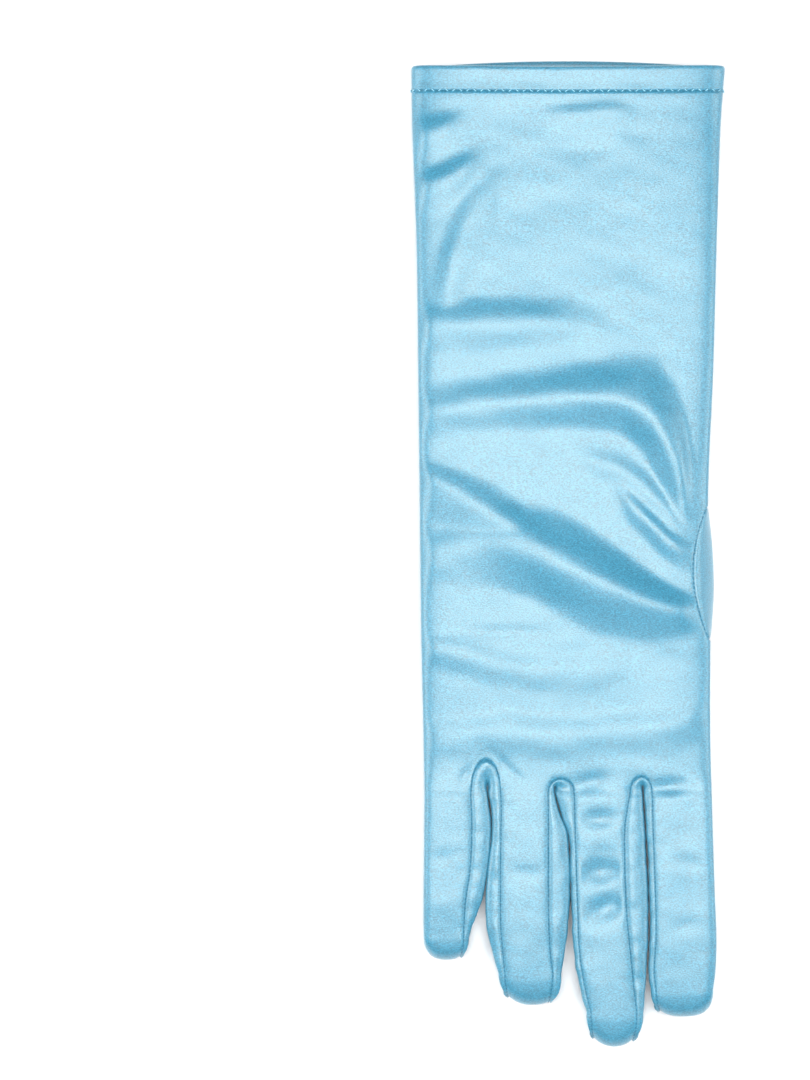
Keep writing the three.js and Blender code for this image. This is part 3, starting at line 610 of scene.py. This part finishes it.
def oval(name, last, x):
    """How far the tip's outline reaches past the last straight section, as a share of the tip's length."""
    middle, half = (last["left"] + last["right"]) / 2, (last["right"] - last["left"]) / 2
    side = np.clip(np.abs(x - middle) / half, 0, 1)
    power = np.where(x < middle, *FINGERS[name]["blunt"])
    return (1 - side ** power) ** (1 / power)


def oval_side(name, last, share, right):
    """The place across the finger where the tip's outline has come down by that share."""
    middle, half = (last["left"] + last["right"]) / 2, (last["right"] - last["left"]) / 2
    power = FINGERS[name]["blunt"][1 if right else 0]
    return middle + (half if right else -half) * (1 - share ** power) ** (1 / power)


# %% [markdown]
# Each finger is woven from its root to its tip. At a folded side the upper and the lower panel share their
# edge, and at a seam they stay apart for the strip between the fingers.

# %% The four fingers
for name in names:
    finger = FINGERS[name]
    straight = finger["length"] - finger["tip"] * PALM_WIDTH
    steps = np.linspace(0, 1, int(round(straight / PITCH)) + 1)
    shares = top_shares[name]
    under_shares = np.linspace(0, 1, len(shares))
    top_rows = [sleeve_top[-1][top_owner == name]]
    under_rows = [sleeve_under[-1][under_owner == name]]
    sections = [roots[name]]
    for at in steps[1:]:
        row = finger_at(name, at)
        x = between(row["top_left"], row["top_right"], shares)
        y = np.full(len(x), row["y"])
        inside = smooth(np.minimum(shares, 1 - shares), 0, 0.2)
        z = row["height"] * panel_crown(name, shares) + folds_at(x, y) * inside
        top_rows.append(np.column_stack([x, y, z]))
        ux = under_places(name, row, under_shares)
        left = ux - row["left"] if finger["folded"][0] else EDGE_ROUND
        right = row["right"] - ux if finger["folded"][1] else EDGE_ROUND
        uz = under_at(ux, row["y"], np.minimum(left, right), row["edge"])
        under_rows.append(np.column_stack([ux, np.full(len(ux), row["y"]), uz]))
        sections.append(row)
    last = sections[-1]
    cap = finger["tip"] * PALM_WIDTH
    base_top, base_under = top_rows[-1], under_rows[-1]
    ends = [last["left"], last["right"]]
    if not finger["folded"][0]:
        ends[0] = between(last["top_left"], last["top_right"], 0.08)
    if not finger["folded"][1]:
        ends[1] = between(last["top_left"], last["top_right"], 0.92)
    tip_x = between(ends[0], ends[1], shares)
    long = cap * oval(name, last, tip_x)
    for k in range(1, TIP_ROWS + 1):
        reach, high = curl_of(k)
        for base, kept in ((base_top, top_rows), (base_under, under_rows)):
            x = between(base[:, 0], tip_x, reach ** 2)
            z = last["edge"] + (base[:, 2] - last["edge"]) * high
            kept.append(np.column_stack([x, last["y"] - long * reach, z]))
    under_rows[-1] = top_rows[-1]
    top_grid, under_grid = np.array(top_rows), np.array(under_rows)
    if finger["folded"][0]:
        under_grid[1:, 0] = top_grid[1:, 0]
    if finger["folded"][1]:
        under_grid[1:, -1] = top_grid[1:, -1]
    finger_rows[name] = (top_grid, under_grid, sections)
    seam_ids[name] = (weave("hand_panel", top_grid, False), weave("hand_panel", under_grid, True))
print("finger rows", {n: len(finger_rows[n][0]) for n in names})

# %% [markdown]
# ## Fourchettes
#
# The strip between two fingers starts at one tip, runs up that finger's side, round the crotch and down the
# next finger's side to its tip. Its two long edges are the seams of the upper and the lower panels.

# %% Fourchettes
CROTCH_SHARE = 0.42
CROTCH_BULGE = 1.6
RIDGE_TURN = 0.6
side_turn = np.linspace(0, 1, SIDE_COLUMNS)


def side_row(upper, ridge, lower):
    """A line down the side of a finger: out from the upper seam, over the ridge and in to the lower seam."""
    out = side_turn[side_turn <= RIDGE_TURN] / RIDGE_TURN
    back = (side_turn[side_turn > RIDGE_TURN] - RIDGE_TURN) / (1 - RIDGE_TURN)
    a, b = np.sin(0.5 * np.pi * out), np.cos(0.5 * np.pi * out)
    first = np.column_stack([
        between(upper[0], ridge[0], a ** 0.75),
        between(upper[1], ridge[1], a),
        between(ridge[2], upper[2], b ** 0.75),
    ])
    c, d = np.sin(0.5 * np.pi * back), np.cos(0.5 * np.pi * back)
    second = np.column_stack([
        between(lower[0], ridge[0], d),
        between(lower[1], ridge[1], d),
        between(ridge[2], lower[2], c),
    ])
    row = np.vstack([first, second])
    row[0], row[-1] = upper, lower
    return row


strip_ids = {}
for f, crotch in enumerate(CROTCHES):
    rows = []
    for side, name in (("right", names[f]), ("left", names[f + 1])):
        tops, unders, sections = finger_rows[name]
        finger = FINGERS[name]
        column = -1 if side == "right" else 0
        line = []
        for i in range(len(tops)):
            upper, lower = tops[i, column], unders[i, column]
            row = sections[min(i, len(sections) - 1)]
            curl = max(0, i - len(sections) + 1)
            ridge_x, ridge_z = row[side], row["height"] * STRIP_SHARE
            if curl:
                down = (row["y"] - upper[1]) / (finger["tip"] * PALM_WIDTH)
                ridge_x = oval_side(name, row, down, side == "right")
                ridge_z = between(ridge_z, upper[2], curl_of(curl)[0] ** 2)
            line.append(side_row(upper, (ridge_x, (upper[1] + lower[1]) / 2, ridge_z), lower))
        rows.append(line)
    arch = []
    a, b = roots[names[f]], roots[names[f + 1]]
    for k in range(1, ARCH_STEPS):
        angle = np.pi * k / ARCH_STEPS
        upper = sleeve_top[-1][top_owner == crotch][k - 1]
        lower = sleeve_under[-1][under_owner == crotch][k - 1]
        ridge_x = between(a["right"], b["left"], (1 - np.cos(angle)) / 2)
        dip = between(STRIP_SHARE, CROTCH_SHARE, np.sin(angle))
        ridge_y = CROTCH_Y + np.sin(angle) * CROTCH_BULGE
        arch.append(side_row(upper, (ridge_x, ridge_y, a["height"] * dip), lower))
    strip_ids[crotch] = weave("fourchette_" + crotch, np.array(rows[0][::-1] + arch + rows[1]), True)

# %% [markdown]
# ## Thumb
#
# From the curved seam in the back of the hand the thumb's cloth drops over the side and runs under the palm
# as a flat tube. Only a narrow strip of it shows from above.

# %% Thumb
STRIP_DROP = 0.45
STRIP_TUCK = 0.53
hole = slice(hole_row, hole_last + 1)
top_seam = sleeve_top[hole, -1]
under_seam = sleeve_under[hole, -1]
hole_along = along[hole, 0]
arc = hole_arc(hole_along)
side_half, side_shift, _, side_edge = section_at(hole_along)
side_x = side_shift + side_half
count = len(arc)
off = np.linspace(-1, 1, count)
lower_wall = [top_seam]
for turn in np.linspace(0, 90, 7)[1:]:
    a = np.radians(turn)
    out_x = side_x + THUMB_BULGE * arc
    low_z = side_edge * (1 - STRIP_DROP * arc)
    x = between(top_seam[:, 0], out_x, np.sin(a) ** 1.25)
    z = between(low_z, top_seam[:, 2], np.cos(a) ** 1.5)
    lower_wall.append(np.column_stack([x, top_seam[:, 1], z]))
for turn in np.linspace(0, 90, 5)[1:]:
    a = np.radians(turn)
    x = side_x + THUMB_BULGE * arc * (2 * np.cos(a) - 1)
    z = side_edge * (1 - STRIP_DROP * arc - STRIP_TUCK * arc * np.sin(a))
    lower_wall.append(np.column_stack([x, top_seam[:, 1], z]))
upper_wall = [under_seam]
full = (1 - np.abs(off) ** 3) ** (1 / 3)
for at in np.concatenate([np.linspace(0.1, 0.9, 26), [0.92, 0.94]]):
    place, way, side, reach = thumb_at(at)
    centre = place[None, :] + off[:, None] * reach * side[None, :]
    centre = centre + read(THUMB, 4, at) * THUMB_LENGTH * (1 - off ** 2)[:, None] * way[None, :]
    closing = np.sqrt(1 - np.clip((at - 0.8) / 0.14, 0, 1) ** 2)
    high = THUMB_HEIGHT / 2 * full * closing
    lower_wall.append(np.column_stack([centre, THUMB_HEIGHT / 2 - high]))
    upper_wall.append(np.column_stack([centre, THUMB_HEIGHT / 2 + high]))
for k in range(1, 11):
    lower_wall[k][0], lower_wall[k][-1] = top_seam[0], top_seam[-1]
weave("thumb", np.array(lower_wall), True)
weave("thumb", np.array(upper_wall), False)
hole_top_ids = top_ids[hole_row - hem_row : hole_last - hem_row + 1, -1]
hole_under_ids = under_ids[hole_row - hem_row : hole_last - hem_row + 1, -1]

# %% [markdown]
# ## Joining the grids
#
# Equal points become one. Every point then knows how far it is from the nearest seam, and the cloth is drawn
# in there: a fine groove on the seam and small puckers beside it, as the thread would pull them.

# %% Join equal points
raw = np.concatenate(grid_points)
_, first, joined = np.unique(np.round(raw, 3), axis=0, return_index=True, return_inverse=True)
joined = joined.reshape(-1)
skin = raw[first]
faces, owner = [], []
piece_names = ["hand_panel", "cuff_hem", "thumb"] + ["fourchette_" + c for c in CROTCHES]
for piece, quads in grid_faces:
    faces.append(joined[quads])
    owner.append(np.full(len(quads), piece_names.index(piece)))
faces, owner = np.concatenate(faces), np.concatenate(owner)
same = [(faces[:, k] == faces[:, (k + 1) % 4]) for k in range(4)]
keep = sum(s.astype(int) for s in same) < 2
faces, owner = faces[keep], owner[keep]
print("skin", len(skin), "points", len(faces), "faces")


def normals_of(points):
    """The way out of the cloth at each point, from the faces round it."""
    across_one = points[faces[:, 2]] - points[faces[:, 0]]
    across_two = points[faces[:, 3]] - points[faces[:, 1]]
    face_normal = np.cross(across_one, across_two)
    total = np.zeros_like(points)
    for k in range(4):
        np.add.at(total, faces[:, k], face_normal)
    length = np.linalg.norm(total, axis=1, keepdims=True)
    return total / np.maximum(length, 1e-12)


# %% [markdown]
# A sewn seam is a little shorter than the cloth beside it. The thread sinks into a groove, and the cloth
# gathers in small waves that die out a few millimetres away. The fingertips stay smooth.

# %% Grooves and puckers at the seams
GROOVE_DEPTH = 0.22
GROOVE_HALF = 0.4
PUCKER_LENGTH = 5.5
PUCKER_REACH = 1.4
STRIP_PUCKER = 0.75
PANEL_PUCKER = 0.25
SEAM_REACH = 12.0
TIP_CALM = 0.85
FLAT_BELOW = 0.6
TABLE_CLEAR = 0.02
touched = np.zeros((len(skin), len(piece_names)), bool)
for k in range(4):
    touched[faces[:, k], owner] = True
on_seam = touched[:, piece_names.index("thumb")] | touched[:, 3:].any(1)
on_seam &= touched[:, 0]
seam_points = np.flatnonzero(on_seam)
tree = kdtree.KDTree(len(seam_points))
for k, index in enumerate(seam_points):
    tree.insert(skin[index], k)
tree.balance()
distance = np.full(len(skin), 99.0)
nearest = np.zeros(len(skin), int)
reachable = np.flatnonzero(skin[:, 1] < RIM_Y - HOLE_START + 8)
for index in reachable:
    _, k, far = tree.find(skin[index])
    distance[index] = far
    nearest[index] = seam_points[k]
seam_x, seam_y = skin[nearest, 0], skin[nearest, 1]
normal = normals_of(skin)
groove = -GROOVE_DEPTH * np.exp(-(distance / GROOVE_HALF) ** 2)
is_strip = touched[:, 3:].any(1) & ~touched[:, 0]
gather = waves(seam_x * 0.6, seam_y, PUCKER_LENGTH, 11, 7)
strength = np.where(is_strip, STRIP_PUCKER, PANEL_PUCKER)
pucker = strength * gather * (distance / PUCKER_REACH) * np.exp(-distance / PUCKER_REACH)
move = (groove + pucker) * (distance < SEAM_REACH)
past_tip = np.zeros(len(skin))
for name in names:
    last = finger_rows[name][2][-1]
    inside = (skin[:, 0] > last["left"] - 0.5) & (skin[:, 0] < last["right"] + 0.5)
    past_tip = np.maximum(past_tip, inside * smooth(last["y"] - skin[:, 1], -3, 3))
move = move * (1 - TIP_CALM * past_tip)
move = np.where(skin[:, 2] < FLAT_BELOW, 0, move)
skin = skin + normal * move[:, None]
skin[:, 2] = np.maximum(skin[:, 2], TABLE_CLEAR)
normal = normals_of(skin)

# %% [markdown]
# ## Pieces
#
# Each pattern piece gets the cloth's thickness inwards. An edge that is sewn or open is closed with a narrow
# face, and the open rim of the hem is rounded, because there the cloth is folded over.

# %% Make the pieces
RIM_BULGE = ((0.2, 0.55), (0.5, 0.8), (0.8, 0.55))
RIM_SWELL = 0.6


def make_piece(name, thick, round_rim=False):
    """One pattern piece as a closed sheet of cloth: outer side, inner side and the narrow faces between."""
    own = faces[owner == piece_names.index(name)]
    ids, local = np.unique(own, return_inverse=True)
    quads = local.reshape(own.shape)
    outer = skin[ids]
    inner = outer - normal[ids] * thick
    n = len(ids)
    edges = {}
    for quad in quads.tolist():
        for k in range(4):
            a, b = quad[k], quad[(k + 1) % 4]
            if a != b:
                edges[(a, b)] = True  # an ordered set of the edges, each with its direction
    border = [(a, b) for a, b in edges if (b, a) not in edges]
    polygons = [tuple(dict.fromkeys(q)) for q in quads.tolist()]
    polygons += [tuple(i + n for i in reversed(p)) for p in polygons]
    points = [outer, inner]
    total = 2 * n
    bulge_of = {}
    if round_rim:
        rim_ids = sorted({i for edge in border for i in edge if skin[ids[i], 1] > RIM_Y - 6})
        for share, out in RIM_BULGE:
            ring = between(outer[rim_ids], inner[rim_ids], share)
            ring = ring + np.array([0, out * thick * RIM_SWELL, 0])
            points.append(ring)
            for k, i in enumerate(rim_ids):
                bulge_of.setdefault(i, []).append(total + k)
            total += len(rim_ids)
    for a, b in border:
        lines_a = [a, *bulge_of.get(a, []), a + n]
        lines_b = [b, *bulge_of.get(b, []), b + n]
        if len(lines_a) != len(lines_b):
            lines_a, lines_b = [a, a + n], [b, b + n]
        for k in range(len(lines_a) - 1):
            polygons.append((lines_a[k], lines_a[k + 1], lines_b[k + 1], lines_b[k]))
    mesh = bpy.data.meshes.new(name)
    mesh.from_pydata((np.concatenate(points) * MM).tolist(), [], polygons)
    mesh.shade_smooth()
    piece = bpy.data.objects.new("cloth_" + name, mesh)
    bpy.context.collection.objects.link(piece)
    print(piece.name, len(mesh.vertices), "points", sum(len(p) - 2 for p in polygons), "triangles")
    return piece


pieces = {name: make_piece(name, CLOTH) for name in piece_names if name != "cuff_hem"}
pieces["cuff_hem"] = make_piece("cuff_hem", HEM_CLOTH, round_rim=True)

# %% [markdown]
# ## Satin
#
# Knitted stretch satin: a saturated blue yarn whose threads lie side by side, so the cloth shines broadly and
# palely where it faces the light and turns deep blue on the flanks of a fold. Fine ribs run across the glove.

# %% Helpers for nodes


def wire(start, output, end, entry):
    """Joins an output of one node to an input of another."""
    end.id_data.links.new(start.outputs[output], end.inputs[entry])


def give(node, values):
    """Sets a node's inputs by their names."""
    for label, value in values.items():
        node.inputs[label].default_value = value


def new_material(name):
    """A material with its nodes and its shader."""
    material = bpy.data.materials.new(name)
    material.use_nodes = True
    nodes = material.node_tree.nodes
    return material, nodes, nodes["Principled BSDF"]


def shades(colour, darker, lighter):
    """The two ends of a mix of one colour."""
    return {"A": (*[c * darker for c in colour], 1.0), "B": (*[c * lighter for c in colour], 1.0)}


# %% [markdown]
# The same fine noise gives the knit its darker and lighter yarns and its small ridges, so both fall together.

# %% Satin


def satin_material(name, base, shine, rough):
    """Dyed yarn with a broad shine, a soft sheen at its round edges and a fine knit grain."""
    material, nodes, shader = new_material(name)
    give(shader, {
        "Roughness": rough,
        "IOR": 1.7,
        "Specular IOR Level": shine,
        "Specular Tint": (1.0, 0.97, 0.84, 1.0),
        "Sheen Weight": 0.35,
        "Sheen Roughness": 0.35,
        "Sheen Tint": (0.72, 0.92, 1.0, 1.0),
    })
    place = nodes.new("ShaderNodeTexCoord")
    ribs = nodes.new("ShaderNodeMapping")
    give(ribs, {"Scale": (1700.0, 3300.0, 2000.0)})
    wire(place, "Object", ribs, "Vector")
    yarn = nodes.new("ShaderNodeTexNoise")
    give(yarn, {"Scale": 1.0, "Detail": 3.0, "Roughness": 0.6})
    wire(ribs, "Vector", yarn, "Vector")
    tone = nodes.new("ShaderNodeMix")
    tone.data_type = "RGBA"
    give(tone, shades(base, 0.64, 1.42))
    spots = nodes.new("ShaderNodeMapRange")
    give(spots, {"From Min": 0.36, "From Max": 0.64})
    wire(yarn, "Fac", spots, "Value")
    wire(spots, "Result", tone, "Factor")
    wire(tone, "Result", shader, "Base Color")
    bump = nodes.new("ShaderNodeBump")
    give(bump, {"Strength": 0.5, "Distance": 0.00018})
    wire(yarn, "Fac", bump, "Height")
    wire(bump, "Normal", shader, "Normal")
    return material


# %% [markdown]
# Every pattern piece wears the same satin and takes the place of the solid with its name.

# %% Dress the pieces
satin = satin_material("blue_satin", (0.036, 0.222, 0.345), 0.68, 0.36)
for name, piece in pieces.items():
    piece.data.materials.append(satin)
    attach(piece, "root")
    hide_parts(name)

# %% [markdown]
# ## Stitches
#
# Seams are sewn with short threads. One small node tool lays them: it walks along a line of points at an even
# spacing and puts a thread on each stop, turned along the line and lying on the cloth. The hem's row leans to
# and fro, because a zigzag stitch lets the stretch cloth give when the hand goes in.

# %% The tool that lays threads


def maths(node, operation, numbers):
    """Sets what a maths node works out, and its fixed numbers."""
    node.operation = operation
    give(node, numbers)
    return node


def thread_tool():
    """The node tree, and the names of its inputs."""
    tree = bpy.data.node_groups.new("lay_threads", "GeometryNodeTree")
    tree.interface.new_socket("Line", in_out="INPUT", socket_type="NodeSocketGeometry")
    names_of = {}
    for label in ("Spacing", "Length", "Thickness", "Lean", "Lift"):
        socket = tree.interface.new_socket(label, in_out="INPUT", socket_type="NodeSocketFloat")
        names_of[label] = socket.identifier
    thread = tree.interface.new_socket("Thread", in_out="INPUT", socket_type="NodeSocketMaterial")
    names_of["Thread"] = thread.identifier
    tree.interface.new_socket("Threads", in_out="OUTPUT", socket_type="NodeSocketGeometry")
    add = tree.nodes.new
    given, result = add("NodeGroupInput"), add("NodeGroupOutput")
    curve = add("GeometryNodeMeshToCurve")
    stops = add("GeometryNodeResampleCurve")
    stops.mode = "LENGTH"
    wire(given, "Line", curve, "Mesh")
    wire(curve, "Curve", stops, "Curve")
    wire(given, "Spacing", stops, "Length")
    up = add("GeometryNodeInputNamedAttribute")
    up.data_type = "FLOAT_VECTOR"
    up.inputs["Name"].default_value = "up"
    lift = add("ShaderNodeVectorMath")
    lift.operation = "SCALE"
    wire(up, "Attribute", lift, 0)
    wire(given, "Lift", lift, "Scale")
    raised = add("GeometryNodeSetPosition")
    wire(stops, "Curve", raised, "Geometry")
    wire(lift, "Vector", raised, "Offset")
    ball = add("GeometryNodeMeshUVSphere")
    give(ball, {"Segments": 8, "Rings": 5, "Radius": 0.5})
    size = add("ShaderNodeCombineXYZ")
    wire(given, "Length", size, "X")
    wire(given, "Thickness", size, "Y")
    wire(given, "Thickness", size, "Z")
    shaped = add("GeometryNodeTransform")
    wire(ball, "Mesh", shaped, "Geometry")
    wire(size, "Vector", shaped, "Scale")
    ahead = add("FunctionNodeAlignRotationToVector")
    ahead.axis = "X"
    wire(add("GeometryNodeInputTangent"), "Tangent", ahead, "Vector")
    flat = add("FunctionNodeAlignRotationToVector")
    flat.axis, flat.pivot_axis = "Z", "X"
    wire(ahead, "Rotation", flat, "Rotation")
    wire(up, "Attribute", flat, "Vector")
    turn_by_turn = maths(add("ShaderNodeMath"), "MODULO", {1: 2.0})
    wire(add("GeometryNodeInputIndex"), "Index", turn_by_turn, 0)
    side = maths(add("ShaderNodeMath"), "MULTIPLY_ADD", {1: 2.0, 2: -1.0})
    wire(turn_by_turn, "Value", side, 0)
    lean = maths(add("ShaderNodeMath"), "MULTIPLY", {})
    wire(side, "Value", lean, 0)
    wire(given, "Lean", lean, 1)
    angles = add("ShaderNodeCombineXYZ")
    wire(lean, "Value", angles, "Z")
    leaning = add("FunctionNodeEulerToRotation")
    wire(angles, "Vector", leaning, "Euler")
    turned = add("FunctionNodeRotateRotation")
    turned.rotation_space = "LOCAL"
    wire(flat, "Rotation", turned, "Rotation")
    wire(leaning, "Rotation", turned, "Rotate By")
    laid = add("GeometryNodeInstanceOnPoints")
    wire(raised, "Geometry", laid, "Points")
    wire(shaped, "Geometry", laid, "Instance")
    wire(turned, "Rotation", laid, "Rotation")
    real = add("GeometryNodeRealizeInstances")
    wire(laid, "Instances", real, "Geometry")
    dyed = add("GeometryNodeSetMaterial")
    wire(real, "Geometry", dyed, "Geometry")
    wire(given, "Thread", dyed, "Material")
    wire(dyed, "Geometry", result, "Threads")
    return tree, names_of


stitch_tool, stitch_inputs = thread_tool()

# %% [markdown]
# The lines that the stitches follow are the seams of the finished skin, so each thread lies on its cloth.
# The hem has pale zigzag threads, with a small dark blob under each as painted shadow.

# %% Thread and its lines
HEM_PITCH = 2.2
SEAM_PITCH = 1.5


def thread_material(name, colour):
    """Matt thread with lighter and darker fibres."""
    material, nodes, shader = new_material(name)
    give(shader, {"Roughness": 0.5, "Specular IOR Level": 0.4})
    place = nodes.new("ShaderNodeTexCoord")
    fibre = nodes.new("ShaderNodeTexNoise")
    give(fibre, {"Scale": 4000.0})
    wire(place, "Object", fibre, "Vector")
    tone = nodes.new("ShaderNodeMix")
    tone.data_type = "RGBA"
    give(tone, shades(colour, 0.8, 1.2))
    wire(fibre, "Fac", tone, "Factor")
    wire(tone, "Result", shader, "Base Color")
    return material


def lay_stitches(name, lines, material, spacing, length, thick, lean=0, lift=0.0):
    """Threads along lines, which are pairs of points and normals. Lean is in degrees, the rest in mm."""
    points, ups, edges = [], [], []
    for places, normals in lines:
        start = sum(len(p) for p in points)
        points.append(places)
        ups.append(normals)
        edges += [(start + k, start + k + 1) for k in range(len(places) - 1)]
    mesh = bpy.data.meshes.new(name)
    mesh.from_pydata((np.concatenate(points) * MM).tolist(), edges, [])
    up = mesh.attributes.new("up", "FLOAT_VECTOR", "POINT")
    up.data.foreach_set("vector", np.concatenate(ups).ravel())
    made = bpy.data.objects.new(name, mesh)
    bpy.context.collection.objects.link(made)
    layer = made.modifiers.new("threads", "NODES")
    layer.node_group = stitch_tool
    sizes = {"Spacing": spacing, "Length": length, "Thickness": thick, "Lift": lift}
    for label, value in sizes.items():
        layer[stitch_inputs[label]] = value * MM
    layer[stitch_inputs["Lean"]] = float(np.radians(lean))
    layer[stitch_inputs["Thread"]] = material
    graph = bpy.context.evaluated_depsgraph_get()
    threads = bpy.data.meshes.new_from_object(made.evaluated_get(graph))
    made.modifiers.clear()
    made.data = threads
    threads.shade_smooth()
    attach(made, "root")
    print(name, len(threads.polygons), "faces")


def seam_line(ids):
    """The skin's points along a seam, without the ones that fell together."""
    chain = joined[ids]
    chain = chain[np.concatenate([[True], chain[1:] != chain[:-1]])]
    return skin[chain], normal[chain]


# %% [markdown]
# The hem's thread is paler than the cloth and stands out on it. The seams' thread is as dark as the grooves,
# and the same dark colour is painted under each hem stitch as its shadow.

# %% Sew the hem and the seams
pale_thread = thread_material("pale_thread", (0.30, 0.62, 0.76))
deep_thread = thread_material("deep_thread", (0.045, 0.19, 0.30))
hem_lines = [seam_line(top_ids[0]), seam_line(under_ids[0])]
lay_stitches("stitches_hem", hem_lines, pale_thread, HEM_PITCH, length=1.25, thick=0.38, lean=38, lift=0.16)
# Painted shadow: a flat dark blob under each pale hem stitch, where the stitch's shade falls.
lay_stitches("needle_holes_hem", hem_lines, deep_thread, HEM_PITCH, length=1.0, thick=0.6, lean=90)
finger_lines = []
for crotch in CROTCHES:
    finger_lines += [seam_line(strip_ids[crotch][:, 0]), seam_line(strip_ids[crotch][:, -1])]
lay_stitches("stitches_fingers", finger_lines, deep_thread, SEAM_PITCH, length=1.0, thick=0.3, lift=0.05)
thumb_lines = [seam_line(hole_top_ids), seam_line(hole_under_ids)]
lay_stitches("stitches_thumb", thumb_lines, deep_thread, SEAM_PITCH, length=1.0, thick=0.34, lift=0.08)

# %% [markdown]
# The panel is folded once round the hand and closed by one long seam. It lies on the underside, a little in
# from the edge, and runs from the hem down to the little finger.

# %% The long side seam, on the underside beside the little finger's edge
SIDE_SEAM_IN = 6.3
SIDE_PITCH = 2.0
side_line = []
for row in sleeve_under[hem_row:]:
    seam_x = row[0, 0] + SIDE_SEAM_IN
    side_line.append([seam_x, np.interp(seam_x, row[:, 0], row[:, 1]), 0.0])
for row in finger_rows["little"][1][1:-TIP_ROWS]:
    seam_x = row[0, 0] + SIDE_SEAM_IN
    side_line.append([seam_x, row[0, 1], 0.0])
side_line = np.array(side_line)
down = np.tile([0.0, 0.0, -1.0], (len(side_line), 1))
lay_stitches("stitches_side", [(side_line, down)], deep_thread, SIDE_PITCH, length=1.4, thick=0.34)

# %% [markdown]
# ## Floor, light and camera
#
# A plain pale table, one large soft light above, two at the sides, and a camera that looks straight down.

# %% Floor
bpy.ops.mesh.primitive_plane_add(size=6.0, location=(0, 0, -0.0002))
floor = bpy.context.object
floor.name = "floor"
paper, _, paper_shader = new_material("floor_paper")
give(paper_shader, {"Base Color": (0.86, 0.86, 0.86, 1), "Roughness": 0.9, "Specular IOR Level": 0.1})
floor.data.materials.append(paper)
floor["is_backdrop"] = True

# %% [markdown]
# Satin shows the light more than its own colour. The wide lamp above gives the pale flat faces, the two at
# the sides keep the round edges from going dull, and the low one opens the shadows at the fingertips.

# %% Lights


def soft_light(name, place, width, depth, watts):
    """A rectangular lamp that looks at the middle of the glove."""
    lamp = bpy.data.lights.new(name, "AREA")
    lamp.shape = "RECTANGLE"
    lamp.size, lamp.size_y = width, depth
    lamp.energy = watts
    made = bpy.data.objects.new(name, lamp)
    made.location = place
    made.rotation_euler = (-Vector(place)).to_track_quat("-Z", "Y").to_euler()
    bpy.context.collection.objects.link(made)


soft_light("top_light", (0, 0.02, 1.3), 0.95, 0.75, 21)
soft_light("left_light", (-1.15, 0.0, 0.62), 0.7, 0.7, 11)
soft_light("right_light", (1.15, 0.0, 0.62), 0.7, 0.7, 9)
soft_light("low_light", (0, -1.1, 1.0), 1.0, 0.4, 3)
world = bpy.data.worlds.new("studio")
world.use_nodes = True
give(world.node_tree.nodes["Background"], {"Color": (1, 1, 1, 1), "Strength": 0.14})
bpy.context.scene.world = world
bpy.context.scene.view_settings.view_transform = "Standard"

# %% [markdown]
# The camera looks straight down through a long lens, with the glove right of the middle and life size worked
# out from the width of one pixel.

# %% Camera
MM_PER_PIXEL = 0.32
FRAME_HEIGHT = 1080 * MM_PER_PIXEL
LENS = 120.0
lens_data = bpy.data.cameras.new("camera")
lens_data.lens = LENS
lens_data.sensor_width = 36.0
camera = bpy.data.objects.new("camera", lens_data)
camera.location = (-52.0 * MM, 4.6 * MM, LENS * FRAME_HEIGHT / 36.0 * MM)
bpy.context.collection.objects.link(camera)
bpy.context.scene.camera = camera

# %% [markdown]
# The box round everything shown, apart from the floor, is printed.

# %% The finished look's box
low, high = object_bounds()
print("visual box", tuple(low), tuple(high))
